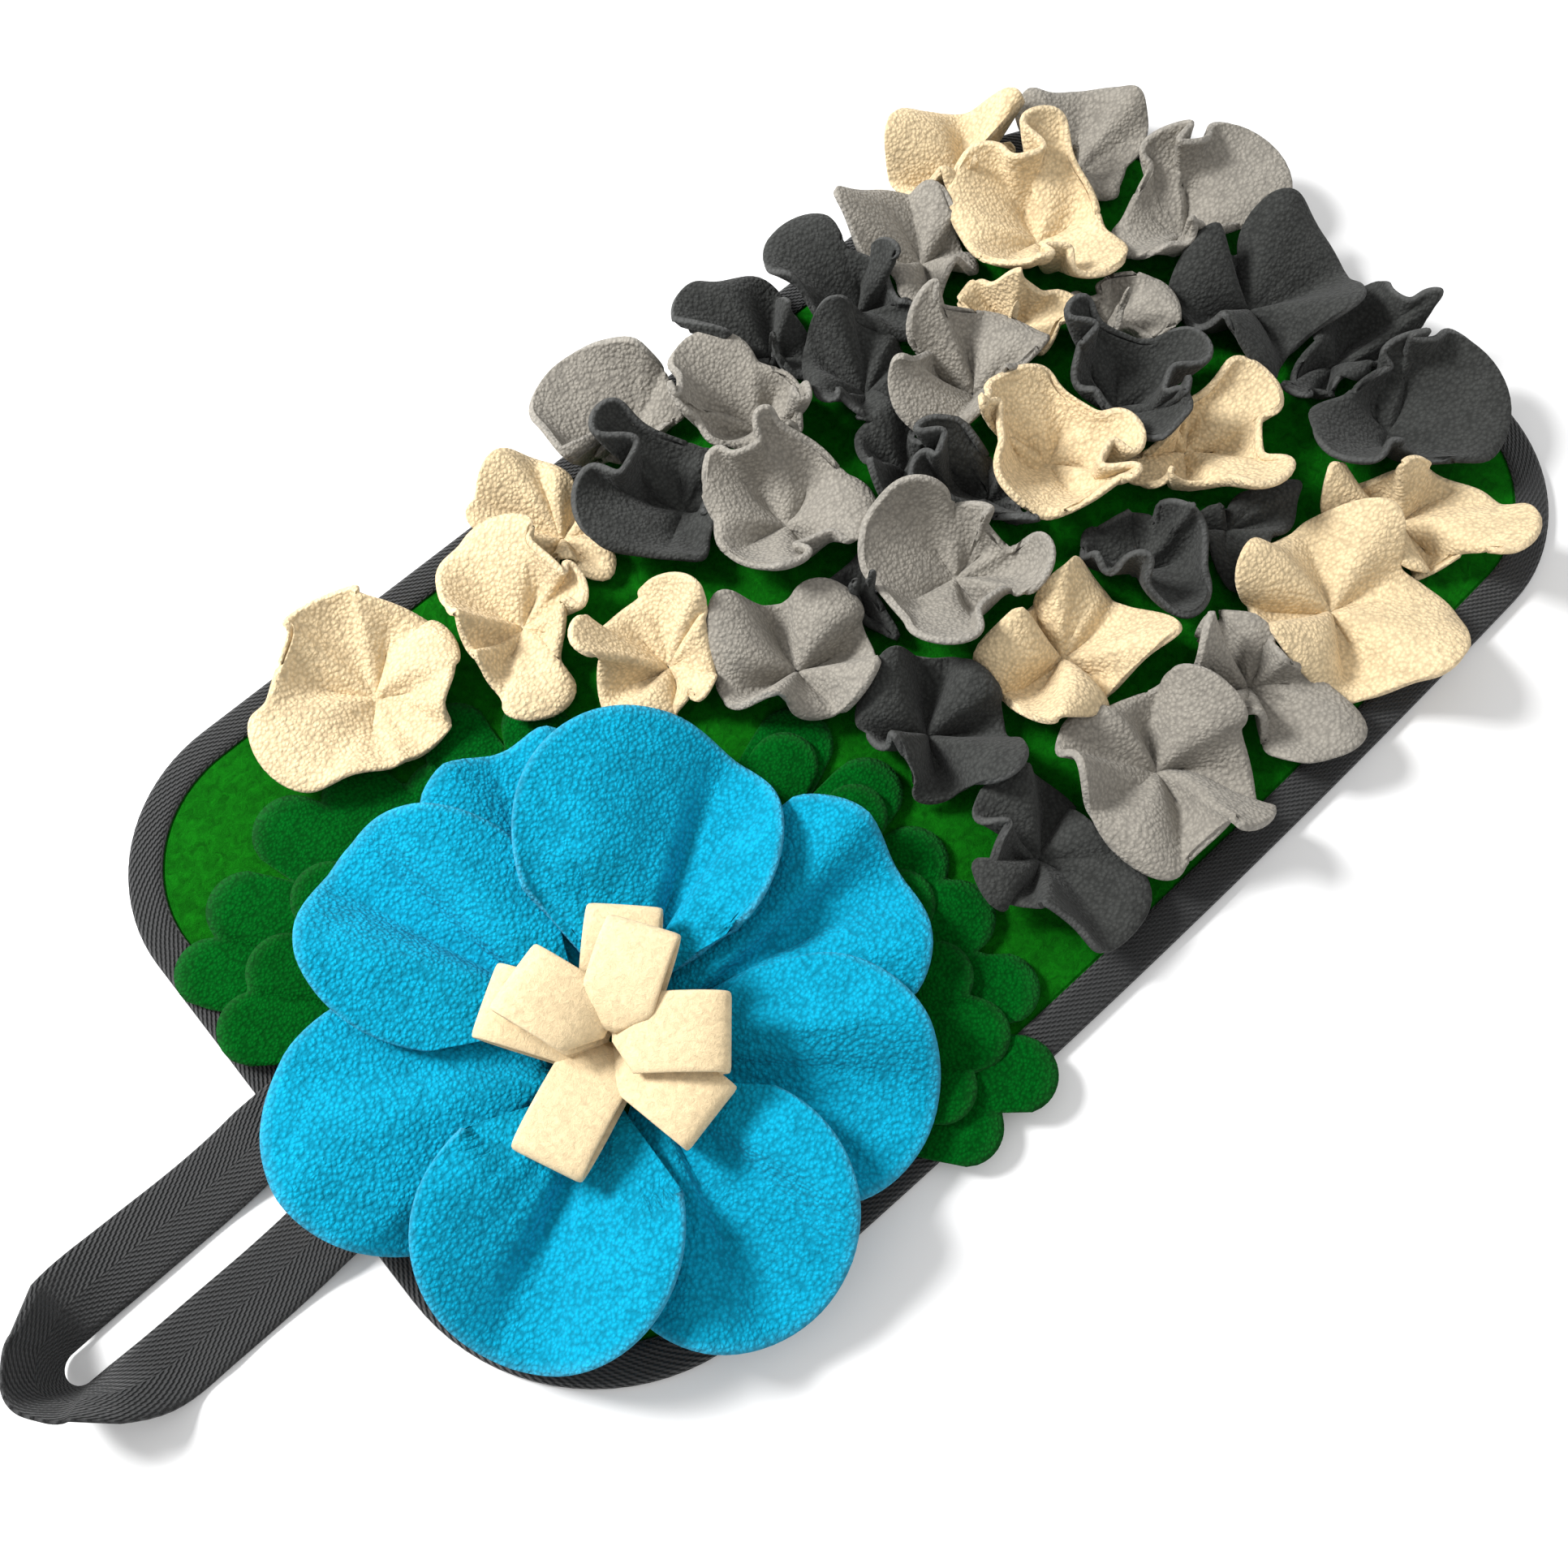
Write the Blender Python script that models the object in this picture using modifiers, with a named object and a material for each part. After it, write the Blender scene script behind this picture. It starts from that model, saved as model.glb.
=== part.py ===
"""A snuffle mat: a bound felt base with a strap, a padded flower on leaves and a field of fleece ruffles.

Frame: +X runs along the mat, away from the strap, and +Z up. The origin is the middle of the underside.
The tables are in millimetres and degrees, and MM turns them into metres.
"""

import math
from collections import namedtuple

import bmesh
import bpy
import numpy as np

MM = 0.001
GAP = 0.3  # between two pieces that lie on each other

# The felt base, and the tape folded over its edge
MAT_HALF_LENGTH = 249.0
MAT_HALF_WIDTH = 137.0
NEAR_SIDE_BOW = 7.0  # how far the long side at -Y stands out at its middle
FELT_TOP = 3.0
FELT_RIM_BOTTOM = 1.1
FELT_RIM_TOP = 2.6
TAPE = 0.8
BINDING_WIDTH = 12.4
CORNER_STEPS = 7
LONG_SIDE_SHARES = (0.25, 0.5, 0.75)  # where a long side has points between its corners
Corner = namedtuple("Corner", "side_x side_y radius")
CORNERS = (
    Corner(1, -1, 61.0),
    Corner(1, 1, 77.0),
    Corner(-1, 1, 59.0),
    Corner(-1, -1, 73.0),
)

# The strap: its inner edge runs out, round a half circle and back
STRAP_WIDTH = 25.0
STRAP_THICKNESS = 1.0
STRAP_STEPS = 12
STRAP_SLIT_HALF = 5.6
STRAP_SLIT_Y = -11.0
STRAP_TURN_X = -337.0
StrapSection = namedtuple("StrapSection", "x height bank_far bank_near")
STRAP_LEG = (
    StrapSection(-229.0, 4.7, 0.0, 0.0),
    StrapSection(-250.0, 4.8, 0.0, 0.0),
    StrapSection(-256.0, 4.4, 0.0, 0.0),
    StrapSection(-266.0, 1.9, 0.0, 0.0),
    StrapSection(-276.0, 0.7, 0.0, 0.0),
    StrapSection(-300.0, 0.6, 4.0, 0.0),
    StrapSection(-318.0, 0.6, 14.0, 6.0),
    StrapSection(-330.0, 0.8, 34.0, 40.0),
)
STRAP_TURN_BANK = 76.0
STRAP_TURN_EASE = 10.0  # how much less it banks where the turn meets the legs
STRAP_TURN_HEIGHT = 0.8

# Fleece and felt sheets
FLEECE = 1.8
SOLE = FELT_TOP + GAP + FLEECE / 2  # the height of a ruffle's sewn middle
Cloth = namedtuple("Cloth", "colour roughness")
CLOTHS = {
    "felt": Cloth((0.010, 0.170, 0.008), 0.95),
    "tape": Cloth((0.050, 0.052, 0.054), 0.70),
    "leaf": Cloth((0.005, 0.130, 0.020), 0.95),
    "petal": Cloth((0.020, 0.360, 0.730), 0.92),
    "cream": Cloth((0.860, 0.690, 0.440), 0.92),
    "light": Cloth((0.330, 0.310, 0.285), 0.92),
    "dark": Cloth((0.062, 0.064, 0.066), 0.92),
}

# The ruffles' folds: round the disc, how far out the rim lies as a share of the room it has there,
# and how high the cloth stands half way out and at the rim as shares of the ruffle's rise
Fold = namedtuple("Fold", "turn reach middle height")
FOLDS = {
    "open": (
        Fold(0, 1.00, 0.44, 0.36),
        Fold(34, 1.00, 0.46, 0.78),
        Fold(60, 0.84, 0.10, 0.40),
        Fold(88, 1.00, 0.44, 0.72),
        Fold(128, 1.00, 0.42, 0.34),
        Fold(160, 0.88, 0.12, 0.44),
        Fold(192, 1.00, 0.50, 0.88),
        Fold(230, 1.00, 0.44, 0.42),
        Fold(262, 0.82, 0.10, 0.36),
        Fold(294, 0.98, 0.52, 1.00),
        Fold(330, 0.88, 0.14, 0.38),
    ),
    "star": (
        Fold(0, 1.00, 0.44, 0.40),
        Fold(36, 0.98, 0.30, 0.56),
        Fold(58, 0.70, 0.56, 1.00),
        Fold(84, 0.96, 0.26, 0.50),
        Fold(120, 1.00, 0.46, 0.40),
        Fold(152, 0.94, 0.34, 0.62),
        Fold(174, 0.66, 0.56, 0.96),
        Fold(204, 1.00, 0.26, 0.46),
        Fold(248, 1.00, 0.46, 0.48),
        Fold(292, 0.72, 0.50, 0.92),
        Fold(326, 0.98, 0.24, 0.58),
    ),
    "wing": (
        Fold(0, 1.00, 0.44, 0.40),
        Fold(42, 1.00, 0.46, 0.66),
        Fold(74, 0.84, 0.54, 1.00),
        Fold(98, 0.60, 0.14, 0.56),
        Fold(122, 0.84, 0.50, 0.90),
        Fold(152, 1.00, 0.44, 0.58),
        Fold(190, 1.00, 0.40, 0.38),
        Fold(230, 0.98, 0.48, 0.72),
        Fold(260, 0.66, 0.14, 0.58),
        Fold(288, 0.84, 0.54, 1.00),
        Fold(324, 1.00, 0.48, 0.68),
    ),
    "cup": (
        Fold(0, 1.00, 0.30, 0.52),
        Fold(40, 1.00, 0.36, 0.72),
        Fold(78, 0.92, 0.50, 1.00),
        Fold(108, 0.70, 0.20, 0.74),
        Fold(136, 0.90, 0.40, 0.46),
        Fold(164, 0.70, 0.18, 0.86),
        Fold(196, 0.92, 0.40, 0.44),
        Fold(226, 0.70, 0.18, 0.88),
        Fold(256, 0.86, 0.36, 0.56),
        Fold(288, 0.96, 0.50, 1.00),
        Fold(322, 1.00, 0.38, 0.74),
    ),
    "wave": (
        Fold(0, 1.00, 0.42, 0.40),
        Fold(40, 1.00, 0.40, 0.56),
        Fold(78, 1.00, 0.48, 0.84),
        Fold(94, 0.84, 0.50, 1.00),
        Fold(96, 0.64, 0.42, 0.98),
        Fold(108, 0.54, 0.26, 0.86),
        Fold(122, 0.76, 0.26, 0.72),
        Fold(138, 1.00, 0.36, 0.62),
        Fold(176, 1.00, 0.42, 0.38),
        Fold(212, 1.00, 0.40, 0.54),
        Fold(246, 1.00, 0.48, 0.84),
        Fold(262, 0.82, 0.50, 1.00),
        Fold(264, 0.62, 0.42, 0.96),
        Fold(278, 0.54, 0.26, 0.82),
        Fold(294, 0.78, 0.28, 0.66),
        Fold(320, 1.00, 0.38, 0.56),
    ),
    "rose": (
        Fold(0, 1.00, 0.36, 0.52),
        Fold(36, 1.00, 0.40, 0.64),
        Fold(72, 1.00, 0.48, 0.86),
        Fold(92, 0.84, 0.50, 1.00),
        Fold(92, 0.64, 0.46, 1.00),
        Fold(84, 0.50, 0.40, 0.92),
        Fold(106, 0.40, 0.32, 0.84),
        Fold(132, 0.62, 0.28, 0.76),
        Fold(152, 0.94, 0.34, 0.66),
        Fold(192, 1.00, 0.42, 0.50),
        Fold(230, 1.00, 0.48, 0.80),
        Fold(248, 0.80, 0.50, 1.00),
        Fold(246, 0.60, 0.44, 0.92),
        Fold(264, 0.50, 0.30, 0.80),
        Fold(286, 0.74, 0.28, 0.70),
        Fold(322, 1.00, 0.36, 0.60),
    ),
}

# One row for each ruffle: where it is sewn down, the room it takes, its folds and how far they are turned,
# its rise, and its place in the order of overlap, the greater rank above
Ruffle = namedtuple("Ruffle", "cloth x y room folds turn rise rank")
RUFFLES = (
    Ruffle("cream", -137, 104, 35, "wing", 175, 22, 5),
    Ruffle("cream", -82, 90, 31, "wing", 80, 22, 4),
    Ruffle("cream", -49, 108, 22, "open", 60, 22, 2),
    Ruffle("cream", -53, 43, 30, "star", 85, 24, 5),
    Ruffle("light", -21, 11, 34, "open", 10, 22, 6),
    Ruffle("light", -4, 120, 28, "cup", 100, 22, 3),
    Ruffle("dark", -9, 87, 36, "wave", 200, 27, 5),
    Ruffle("light", 34, 94, 25, "wave", 45, 27, 6),
    Ruffle("light", 15, 57, 30, "wave", 330, 27, 7),
    Ruffle("dark", 58, 113, 27, "star", 80, 24, 4),
    Ruffle("dark", 97, 106, 27, "wing", 70, 25, 5),
    Ruffle("dark", 74, 78, 22, "star", 20, 25, 6),
    Ruffle("dark", 62, 44, 24, "wave", 110, 27, 6),
    Ruffle("dark", 76, 15, 22, "wave", 15, 27, 8),
    Ruffle("light", 46, 0, 28, "cup", 150, 27, 8),
    Ruffle("dark", 14, 16, 19, "wave", 45, 23, 5),
    Ruffle("light", 104, 50, 27, "wing", 10, 25, 8),
    Ruffle("cream", 103, 10, 26, "rose", 30, 29, 9),
    Ruffle("cream", 133, 60, 26, "cup", 330, 25, 6),
    Ruffle("light", 130, 106, 29, "open", 80, 23, 5),
    Ruffle("cream", 171, 83, 36, "wave", 320, 27, 7),
    Ruffle("cream", 167, 120, 19, "open", 75, 22, 4),
    Ruffle("light", 206, 97, 20, "wing", 60, 21, 3),
    Ruffle("light", 214, 47, 35, "wave", 315, 25, 5),
    Ruffle("light", 163, 37, 28, "wave", 160, 25, 5),
    Ruffle("dark", 207, 6, 33, "open", 0, 23, 6),
    Ruffle("dark", 139, 10, 26, "rose", 200, 27, 8),
    Ruffle("cream", 144, -20, 30, "cup", 330, 25, 7),
    Ruffle("dark", 211, -33, 26, "wave", 80, 25, 5),
    Ruffle("dark", 205, -65, 26, "wave", 300, 25, 6),
    Ruffle("cream", 179, -92, 32, "wing", 355, 23, 5),
    Ruffle("cream", 134, -99, 35, "open", 85, 19, 7),
    Ruffle("dark", 131, -52, 22, "open", 0, 21, 4),
    Ruffle("dark", 97, -41, 27, "cup", 270, 27, 6),
    Ruffle("cream", 51, -48, 30, "open", 20, 23, 7),
    Ruffle("light", 91, -99, 29, "star", 55, 23, 6),
    Ruffle("light", 45, -99, 34, "star", 90, 23, 7),
    Ruffle("dark", -4, -37, 31, "open", 350, 23, 6),
    Ruffle("dark", -7, -94, 33, "star", 60, 23, 5),
)
RUFFLE_RADIUS = 44.0  # of the disc, measured flat
REACH_PER_ROOM = 1.35  # the most that a rim reaches, as a share of the ruffle's room
MOST_COLUMNS = 22
RUFFLE_RINGS = (0.19, 0.56, 1.0)
RING_FOLDING = (0.30, 0.90, 1.0)  # how much of the rim's folds each ring has
BOWL_OUT = 1.25  # how soon the cloth runs outwards from its sewn middle
SLACK = 0.97  # what the folds leave of a disc's radius
LEAN = 40.0  # the most that the wall between two pieces leans
FOOT_PULL = 0.70  # how far a leaning wall's foot moves towards the lower piece
OVERLAP_RANKS = 2.0  # the difference in rank at which a wall leans most
TUCK_STEPS = (1.0, 0.85, 0.7, 0.55, 0.4)  # how far a rim may dip under a neighbour
TUCK_PRICE = 0.45  # the reach that a dip must win for each unit of height
LEAST_REACH = 4.0
RUFFLE_FOOT = 12.0  # what stays free round a ruffle's sewn middle
PETAL_ROOM = 43.0
PETAL_FOOT = 38.0  # what stays free round a petal's middle
PETAL_RANK = 12
PETAL_MIDDLE = 0.52  # where its middle lies, as a share of its reach
BESIDE = 6.0  # how much further apart a petal and a ruffle are still neighbours

# The flower: petals pinched round its middle
FLOWER_X = -151.0
FLOWER_Y = -48.0
PETAL_APEX = 13.0  # from the flower's middle to where a petal fans out
PETAL_COLUMNS = 14
PETAL_RINGS = (0.09, 0.32, 0.56, 0.79, 1.0)
PETAL_SPREAD = 72.0  # half of the fan, for a petal of width 1
PETAL_ROUNDNESS = 0.62
PETAL_FLOOR = 5.3  # the sheet over the leaves that the petals stay above
PETAL_FLOOR_SLOPE = 0.065
PETAL_SEAT = 36.0  # within this far of the middle the petals rest on the lower leaf
CUP_BOTTOM = 14.2
CUP_SLOPE = 0.20
CUP_REACH = 52.0  # the cup holds the middle's loops
Petal = namedtuple("Petal", "azimuth reach width base middles rims")
# base, middles, rims: the height of its pinched end, then half way out and at the rim at seven places
# from the petal's left edge to its right, seen from its base
PETALS = (
    Petal(40, 99, 0.70, 15.5, (14, 23, 26, 20, 8, 19, 17), (26, 34, 32, 25, 15, 26, 31)),
    Petal(-9, 102, 0.66, 6.6, (12, 20, 19, 7, 15, 17, 12), (18, 28, 28, 14, 20, 23, 17)),
    Petal(-52, 90, 0.70, 9.5, (24, 26, 18, 7, 9, 17, 14), (36, 37, 27, 13, 13, 23, 20)),
    Petal(-97, 90, 0.70, 12.0, (22, 23, 14, 7, 15, 20, 17), (34, 33, 21, 11, 20, 26, 24)),
    Petal(-148, 87, 0.76, 12.4, (19, 22, 17, 7, 18, 22, 17), (30, 31, 24, 12, 22, 28, 26)),
    Petal(157, 98, 0.68, 6.6, (8, 8, 21, 19, 15, 18, 14), (10, 12, 26, 25, 21, 26, 22)),
    Petal(107, 100, 0.60, 12.5, (19, 22, 23, 7, 18, 20, 15), (30, 33, 29, 13, 24, 27, 21)),
    Petal(72, 105, 0.58, 6.6, (9, 14, 15, 7, 15, 14, 10), (16, 22, 23, 13, 22, 21, 16)),
)
# Which petal lies over which, where they cross round the flower, and how high
Crossing = namedtuple("Crossing", "over under azimuth height")
CROSSINGS = (
    Crossing(0, 7, 66, 9.6),
    Crossing(0, 1, 8, 9.6),
    Crossing(0, 6, 78, 13.6),
    Crossing(2, 1, -28, 9.6),
    Crossing(3, 2, -74, 9.8),
    Crossing(4, 3, -120, 10.4),
    Crossing(4, 5, 184, 9.6),
    Crossing(6, 5, 134, 9.6),
    Crossing(6, 7, 84, 9.6),
    Crossing(0, 2, -26, 13.6),
    Crossing(4, 6, 152, 13.8),
)
CROSSING_OUT = 0.12  # the slope between two petals, outwards
CROSSING_SIDE = 0.22  # and across, up towards the petal that lies under
CROSSING_HIDDEN = 13.0  # how far an edge runs on under the petal above it

# The flower's middle: strips bent into loops, four below and three above
LOOP_WIDTH = 24.0
LOOP_SPLAY = 0.69  # half a strip's width near the middle, as a share of its distance from there
LOOP_THICKNESS = 2.0
LoopPoint = namedtuple("LoopPoint", "out up")
LOOP_PATH = (
    LoopPoint(0.09, 0.95),
    LoopPoint(0.40, 0.95),
    LoopPoint(0.70, 1.05),
    LoopPoint(0.88, 2.4),
    LoopPoint(0.98, 4.4),
    LoopPoint(0.99, 7.0),
    LoopPoint(0.90, 9.4),
    LoopPoint(0.72, 10.6),
    LoopPoint(0.46, 10.4),
    LoopPoint(0.24, 9.0),
    LoopPoint(0.10, 6.4),
)
CentreLoop = namedtuple("CentreLoop", "azimuth reach tier")
CENTRE_LOOPS = (
    CentreLoop(44, 41, 0),
    CentreLoop(122, 41, 0),
    CentreLoop(203, 42, 0),
    CentreLoop(-80, 40, 0),
    CentreLoop(108, 33, 1),
    CentreLoop(30, 33, 1),
    CentreLoop(-42, 36, 1),
)
TIER_HEIGHT = 12.3

# The leaves: rounded tongues that reach out from under the flower
LEAF = 1.8
Tongue = namedtuple("Tongue", "x y radius")
LEAF_CORE = 52.0
LEAF_STEP = 3.0
LEAF_LEAST = 4.0  # a leaf's least width between its tongues
LOWER_TONGUES = (
    Tongue(-236, 62, 12.0),
    Tongue(-215, 72, 13.0),
    Tongue(-188, 84, 13.5),
    Tongue(-163, 78, 13.0),
    Tongue(-125, 74, 12.5),
    Tongue(-142, 60, 12.0),
    Tongue(-102, 58, 12.0),
    Tongue(-77, 33, 12.5),
    Tongue(-40, -8, 14.0),
    Tongue(-34, -38, 13.0),
    Tongue(-39, -66, 13.0),
    Tongue(-41, -90, 13.0),
    Tongue(-46, -117, 12.0),
    Tongue(-62, -140, 12.5),
    Tongue(-86, -140, 12.5),
)
UPPER_LEFT_TONGUES = (
    Tongue(-235, 36, 12.5),
    Tongue(-217, 45, 12.5),
    Tongue(-192, 56, 12.5),
)
UPPER_RIGHT_TONGUES = (
    Tongue(-48, -12, 12.0),
    Tongue(-43, -42, 11.5),
    Tongue(-52, -74, 12.0),
    Tongue(-60, -100, 12.0),
    Tongue(-64, -121, 12.0),
    Tongue(-84, -126, 12.0),
)
TONGUES_OVER_RUFFLES = (
    Tongue(-42, -9, 14.0),
    Tongue(-38, -38, 13.0),
    Tongue(-42, -72, 13.0),
    Tongue(-46, -100, 13.0),
)
UPPER_LEAF_START = 44.0
LEAF_BOTTOM = FELT_TOP + GAP
Leaf = namedtuple("Leaf", "name tongues first last start bottom")
UPPER_BOTTOM = LEAF_BOTTOM + LEAF + 3 * GAP
LEAVES = (
    Leaf("leaf_lower", LOWER_TONGUES, 0.0, 360.0, LEAF_CORE / 2, LEAF_BOTTOM),
    Leaf("leaf_upper_left", UPPER_LEFT_TONGUES, 102.0, 141.0, UPPER_LEAF_START, UPPER_BOTTOM),
    Leaf("leaf_upper_right", UPPER_RIGHT_TONGUES, -57.0, 27.0, UPPER_LEAF_START, UPPER_BOTTOM),
)
LEAF_RINGS = (0.0, 0.55, 1.0)
EDGE_RISE = 1.2  # what a leaf or a ruffle climbs to cross the binding
EDGE_RISE_WIDTH = 14.0


def clear_scene():
    for item in list(bpy.data.objects):
        bpy.data.objects.remove(item, do_unlink=True)


def make_collection(name):
    found = bpy.data.collections.new(name)
    bpy.context.scene.collection.children.link(found)
    return found


def make_materials():
    made = {}
    for name, cloth in CLOTHS.items():
        material = bpy.data.materials.new(name)
        material.use_nodes = True
        shader = material.node_tree.nodes["Principled BSDF"]
        shader.inputs["Base Color"].default_value = (*cloth.colour, 1.0)
        shader.inputs["Roughness"].default_value = cloth.roughness
        shader.inputs["Metallic"].default_value = 0.0
        made[name] = material
    return made


def add_object(bm, name, material, home):
    bm.normal_update()
    mesh = bpy.data.meshes.new(name)
    bm.to_mesh(mesh)
    bm.free()
    mesh.materials.append(material)
    item = bpy.data.objects.new(name, mesh)
    home.objects.link(item)
    return item


def add_thickness(item, thickness):
    """Makes a sheet of cloth from an open surface, rounded in its shading."""
    for face in item.data.polygons:
        face.use_smooth = True
    solidify = item.modifiers.new("Cloth", "SOLIDIFY")
    solidify.thickness = thickness * MM
    solidify.offset = 0.0
    solidify.use_even_offset = False
    solidify.use_rim = True


def heading(degrees):
    angle = math.radians(degrees)
    return np.array([math.cos(angle), math.sin(angle)])


# The base, its binding and the leaves


def mat_outline(inset):
    """The mat's edge, anticlockwise from above, drawn in by inset."""
    points = []
    for corner in CORNERS:
        centre_x = corner.side_x * (MAT_HALF_LENGTH - corner.radius)
        centre_y = corner.side_y * (MAT_HALF_WIDTH - corner.radius)
        middle = math.degrees(math.atan2(corner.side_y, corner.side_x))
        for step in range(CORNER_STEPS + 1):
            turn = middle - 45.0 + 90.0 * step / CORNER_STEPS
            points.append(np.array([centre_x, centre_y]) + (corner.radius - inset) * heading(turn))
        if corner.side_x == corner.side_y:
            other = CORNERS[(CORNERS.index(corner) + 1) % len(CORNERS)]
            end_x = other.side_x * (MAT_HALF_LENGTH - other.radius)
            for share in LONG_SIDE_SHARES:
                x = centre_x + (end_x - centre_x) * share
                points.append(np.array([x, corner.side_y * (MAT_HALF_WIDTH - inset)]))
    points = np.array(points)
    near = points[:, 1] < 0
    bow = 1.0 + NEAR_SIDE_BOW / MAT_HALF_WIDTH * (1.0 - (points[:, 0] / MAT_HALF_LENGTH) ** 2)
    points[near, 1] *= bow[near]
    return points


def loft_rings(rings, closed=True):
    """A solid through rings of points, capped at its ends, or joined end to end."""
    bm = bmesh.new()
    rows = [[bm.verts.new([value * MM for value in point]) for point in ring] for ring in rings]
    pairs = list(zip(rows, rows[1:]))
    if not closed:
        bm.faces.new(rows[0][::-1])
        bm.faces.new(rows[-1])
    else:
        pairs.append((rows[-1], rows[0]))
    for low, high in pairs:
        for index in range(len(low)):
            after = (index + 1) % len(low)
            bm.faces.new((low[index], low[after], high[after], high[index]))
    return bm


def raised(outline, height):
    return [(x, y, height) for x, y in outline]


def make_felt():
    tuck = BINDING_WIDTH + GAP
    profile = (
        (tuck, 0.0),
        (tuck, FELT_RIM_BOTTOM),
        (1.5, FELT_RIM_BOTTOM),
        (1.5, FELT_RIM_TOP),
        (tuck, FELT_RIM_TOP),
        (tuck + 0.6, FELT_TOP),
    )
    return loft_rings([raised(mat_outline(inset), z) for inset, z in profile], closed=False)


def make_binding():
    top = FELT_RIM_TOP + GAP
    profile = (
        (BINDING_WIDTH, 0.0),
        (BINDING_WIDTH, TAPE),
        (1.1, TAPE),
        (1.1, top),
        (BINDING_WIDTH, top),
        (BINDING_WIDTH, top + TAPE),
        (0.9, top + TAPE),
        (0.0, top),
        (0.0, TAPE),
        (0.9, 0.0),
    )
    return loft_rings([raised(mat_outline(inset), z) for inset, z in profile[::-1]])


def tongue_reach(tongues, turn, least):
    """How far from the flower's middle the outermost tongue reaches in one direction."""
    reach = least
    for tongue in tongues:
        way = np.array([tongue.x - FLOWER_X, tongue.y - FLOWER_Y])
        length = float(np.hypot(*way))
        off = math.radians(turn) - math.atan2(way[1], way[0])
        if math.cos(off) <= 0.0:
            continue
        aside = abs(length * math.sin(off))
        if aside < tongue.radius:
            far = length * math.cos(off) + math.sqrt(tongue.radius**2 - aside**2)
        else:
            far = tongue.radius / abs(math.sin(off))
        reach = max(reach, far)
    return reach


def edge_lift(x, y):
    """What a flat leaf climbs where it crosses the binding."""
    flat_x = MAT_HALF_LENGTH - BINDING_WIDTH - abs(x)
    flat_y = MAT_HALF_WIDTH - BINDING_WIDTH - abs(y)
    if y < 0:
        flat_y += NEAR_SIDE_BOW * (1.0 - (x / MAT_HALF_LENGTH) ** 2)
    inside = min(flat_x, flat_y)
    share = min(max(1.0 - inside / EDGE_RISE_WIDTH, 0.0), 1.0)
    return EDGE_RISE * share * share * (3.0 - 2.0 * share)


def make_leaf(leaf):
    """A fan of tongues between two directions, from its start outwards; a whole turn has no inner edge."""
    whole = leaf.last - leaf.first >= 360.0
    count = int(round((leaf.last - leaf.first) / LEAF_STEP))
    turns = [leaf.first + LEAF_STEP * index for index in range(count if whole else count + 1)]
    middle = np.array([FLOWER_X, FLOWER_Y])
    bm = bmesh.new()
    rows = []
    for share in LEAF_RINGS:
        row = []
        for turn in turns:
            tip = tongue_reach(leaf.tongues, turn, leaf.start + LEAF_LEAST)
            x, y = middle + (leaf.start + (tip - leaf.start) * share) * heading(turn)
            row.append(bm.verts.new((x * MM, y * MM, (leaf.bottom + LEAF / 2 + edge_lift(x, y)) * MM)))
        rows.append(row)
    for inner, outer in zip(rows, rows[1:]):
        for index in range(len(turns) if whole else len(turns) - 1):
            after = (index + 1) % len(turns)
            bm.faces.new((inner[index], outer[index], outer[after], inner[after]))
    if whole:
        bm.faces.new(rows[0])
    return bm


# The strap


def strap_stations():
    """The strap's inner edge and its bank, from one sewn end to the other."""
    stations = []
    far_y = STRAP_SLIT_Y + STRAP_SLIT_HALF
    near_y = STRAP_SLIT_Y - STRAP_SLIT_HALF
    for row in STRAP_LEG:
        stations.append((row.x, far_y, row.height, 90.0, row.bank_far))
    for step in range(1, STRAP_STEPS):
        turn = 90.0 + 180.0 * step / STRAP_STEPS
        x, y = np.array([STRAP_TURN_X, STRAP_SLIT_Y]) + STRAP_SLIT_HALF * heading(turn)
        ease = STRAP_TURN_EASE * abs(math.cos(math.radians(turn - 90.0))) ** 8
        stations.append((x, y, STRAP_TURN_HEIGHT, turn, STRAP_TURN_BANK - ease))
    for row in STRAP_LEG[::-1]:
        stations.append((row.x, near_y, row.height, 270.0, row.bank_near))
    return stations


def make_strap():
    bm = bmesh.new()
    rows = []
    for x, y, z, turn, bank in strap_stations():
        out = heading(turn)
        lean = math.radians(bank)
        row = []
        for share in (0.0, 0.5, 1.0):
            x_out, y_out = np.array([x, y]) + out * STRAP_WIDTH * share * math.cos(lean)
            z_out = z + STRAP_WIDTH * share * math.sin(lean)
            row.append(bm.verts.new((x_out * MM, y_out * MM, z_out * MM)))
        rows.append(row)
    for row, after in zip(rows, rows[1:]):
        for index in range(2):
            bm.faces.new((row[index], row[index + 1], after[index + 1], after[index]))
    return bm


# Ruffles and petals


Site = namedtuple("Site", "x y room foot rank")


def ruffle_site(ruffle):
    return Site(ruffle.x, ruffle.y, ruffle.room, RUFFLE_FOOT, ruffle.rank)


def petal_site(petal):
    out = PETAL_APEX + petal.reach * PETAL_MIDDLE
    x, y = np.array([FLOWER_X, FLOWER_Y]) + out * heading(petal.azimuth)
    return Site(x, y, PETAL_ROOM, PETAL_FOOT, PETAL_RANK)


def wall_between(site, other):
    """The leaning wall that keeps two pieces apart, as (normal, offset), with site on its inner side."""
    way = np.array([other.x - site.x, other.y - site.y], float)
    length = float(np.hypot(*way))
    way /= length
    above = math.tanh((site.rank - other.rank) / OVERLAP_RANKS)
    middle = (length**2 + site.room**2 - other.room**2) / (2.0 * length)
    foot_side = site.foot if above > 0 else length - other.foot
    share = middle + (foot_side - middle) * abs(above) * FOOT_PULL
    lean = math.radians(LEAN * above)
    normal = np.array([way[0] * math.cos(lean), way[1] * math.cos(lean), -math.sin(lean)])
    foot = np.array([site.x + way[0] * share, site.y + way[1] * share, SOLE])
    return normal, float(normal @ foot)


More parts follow.
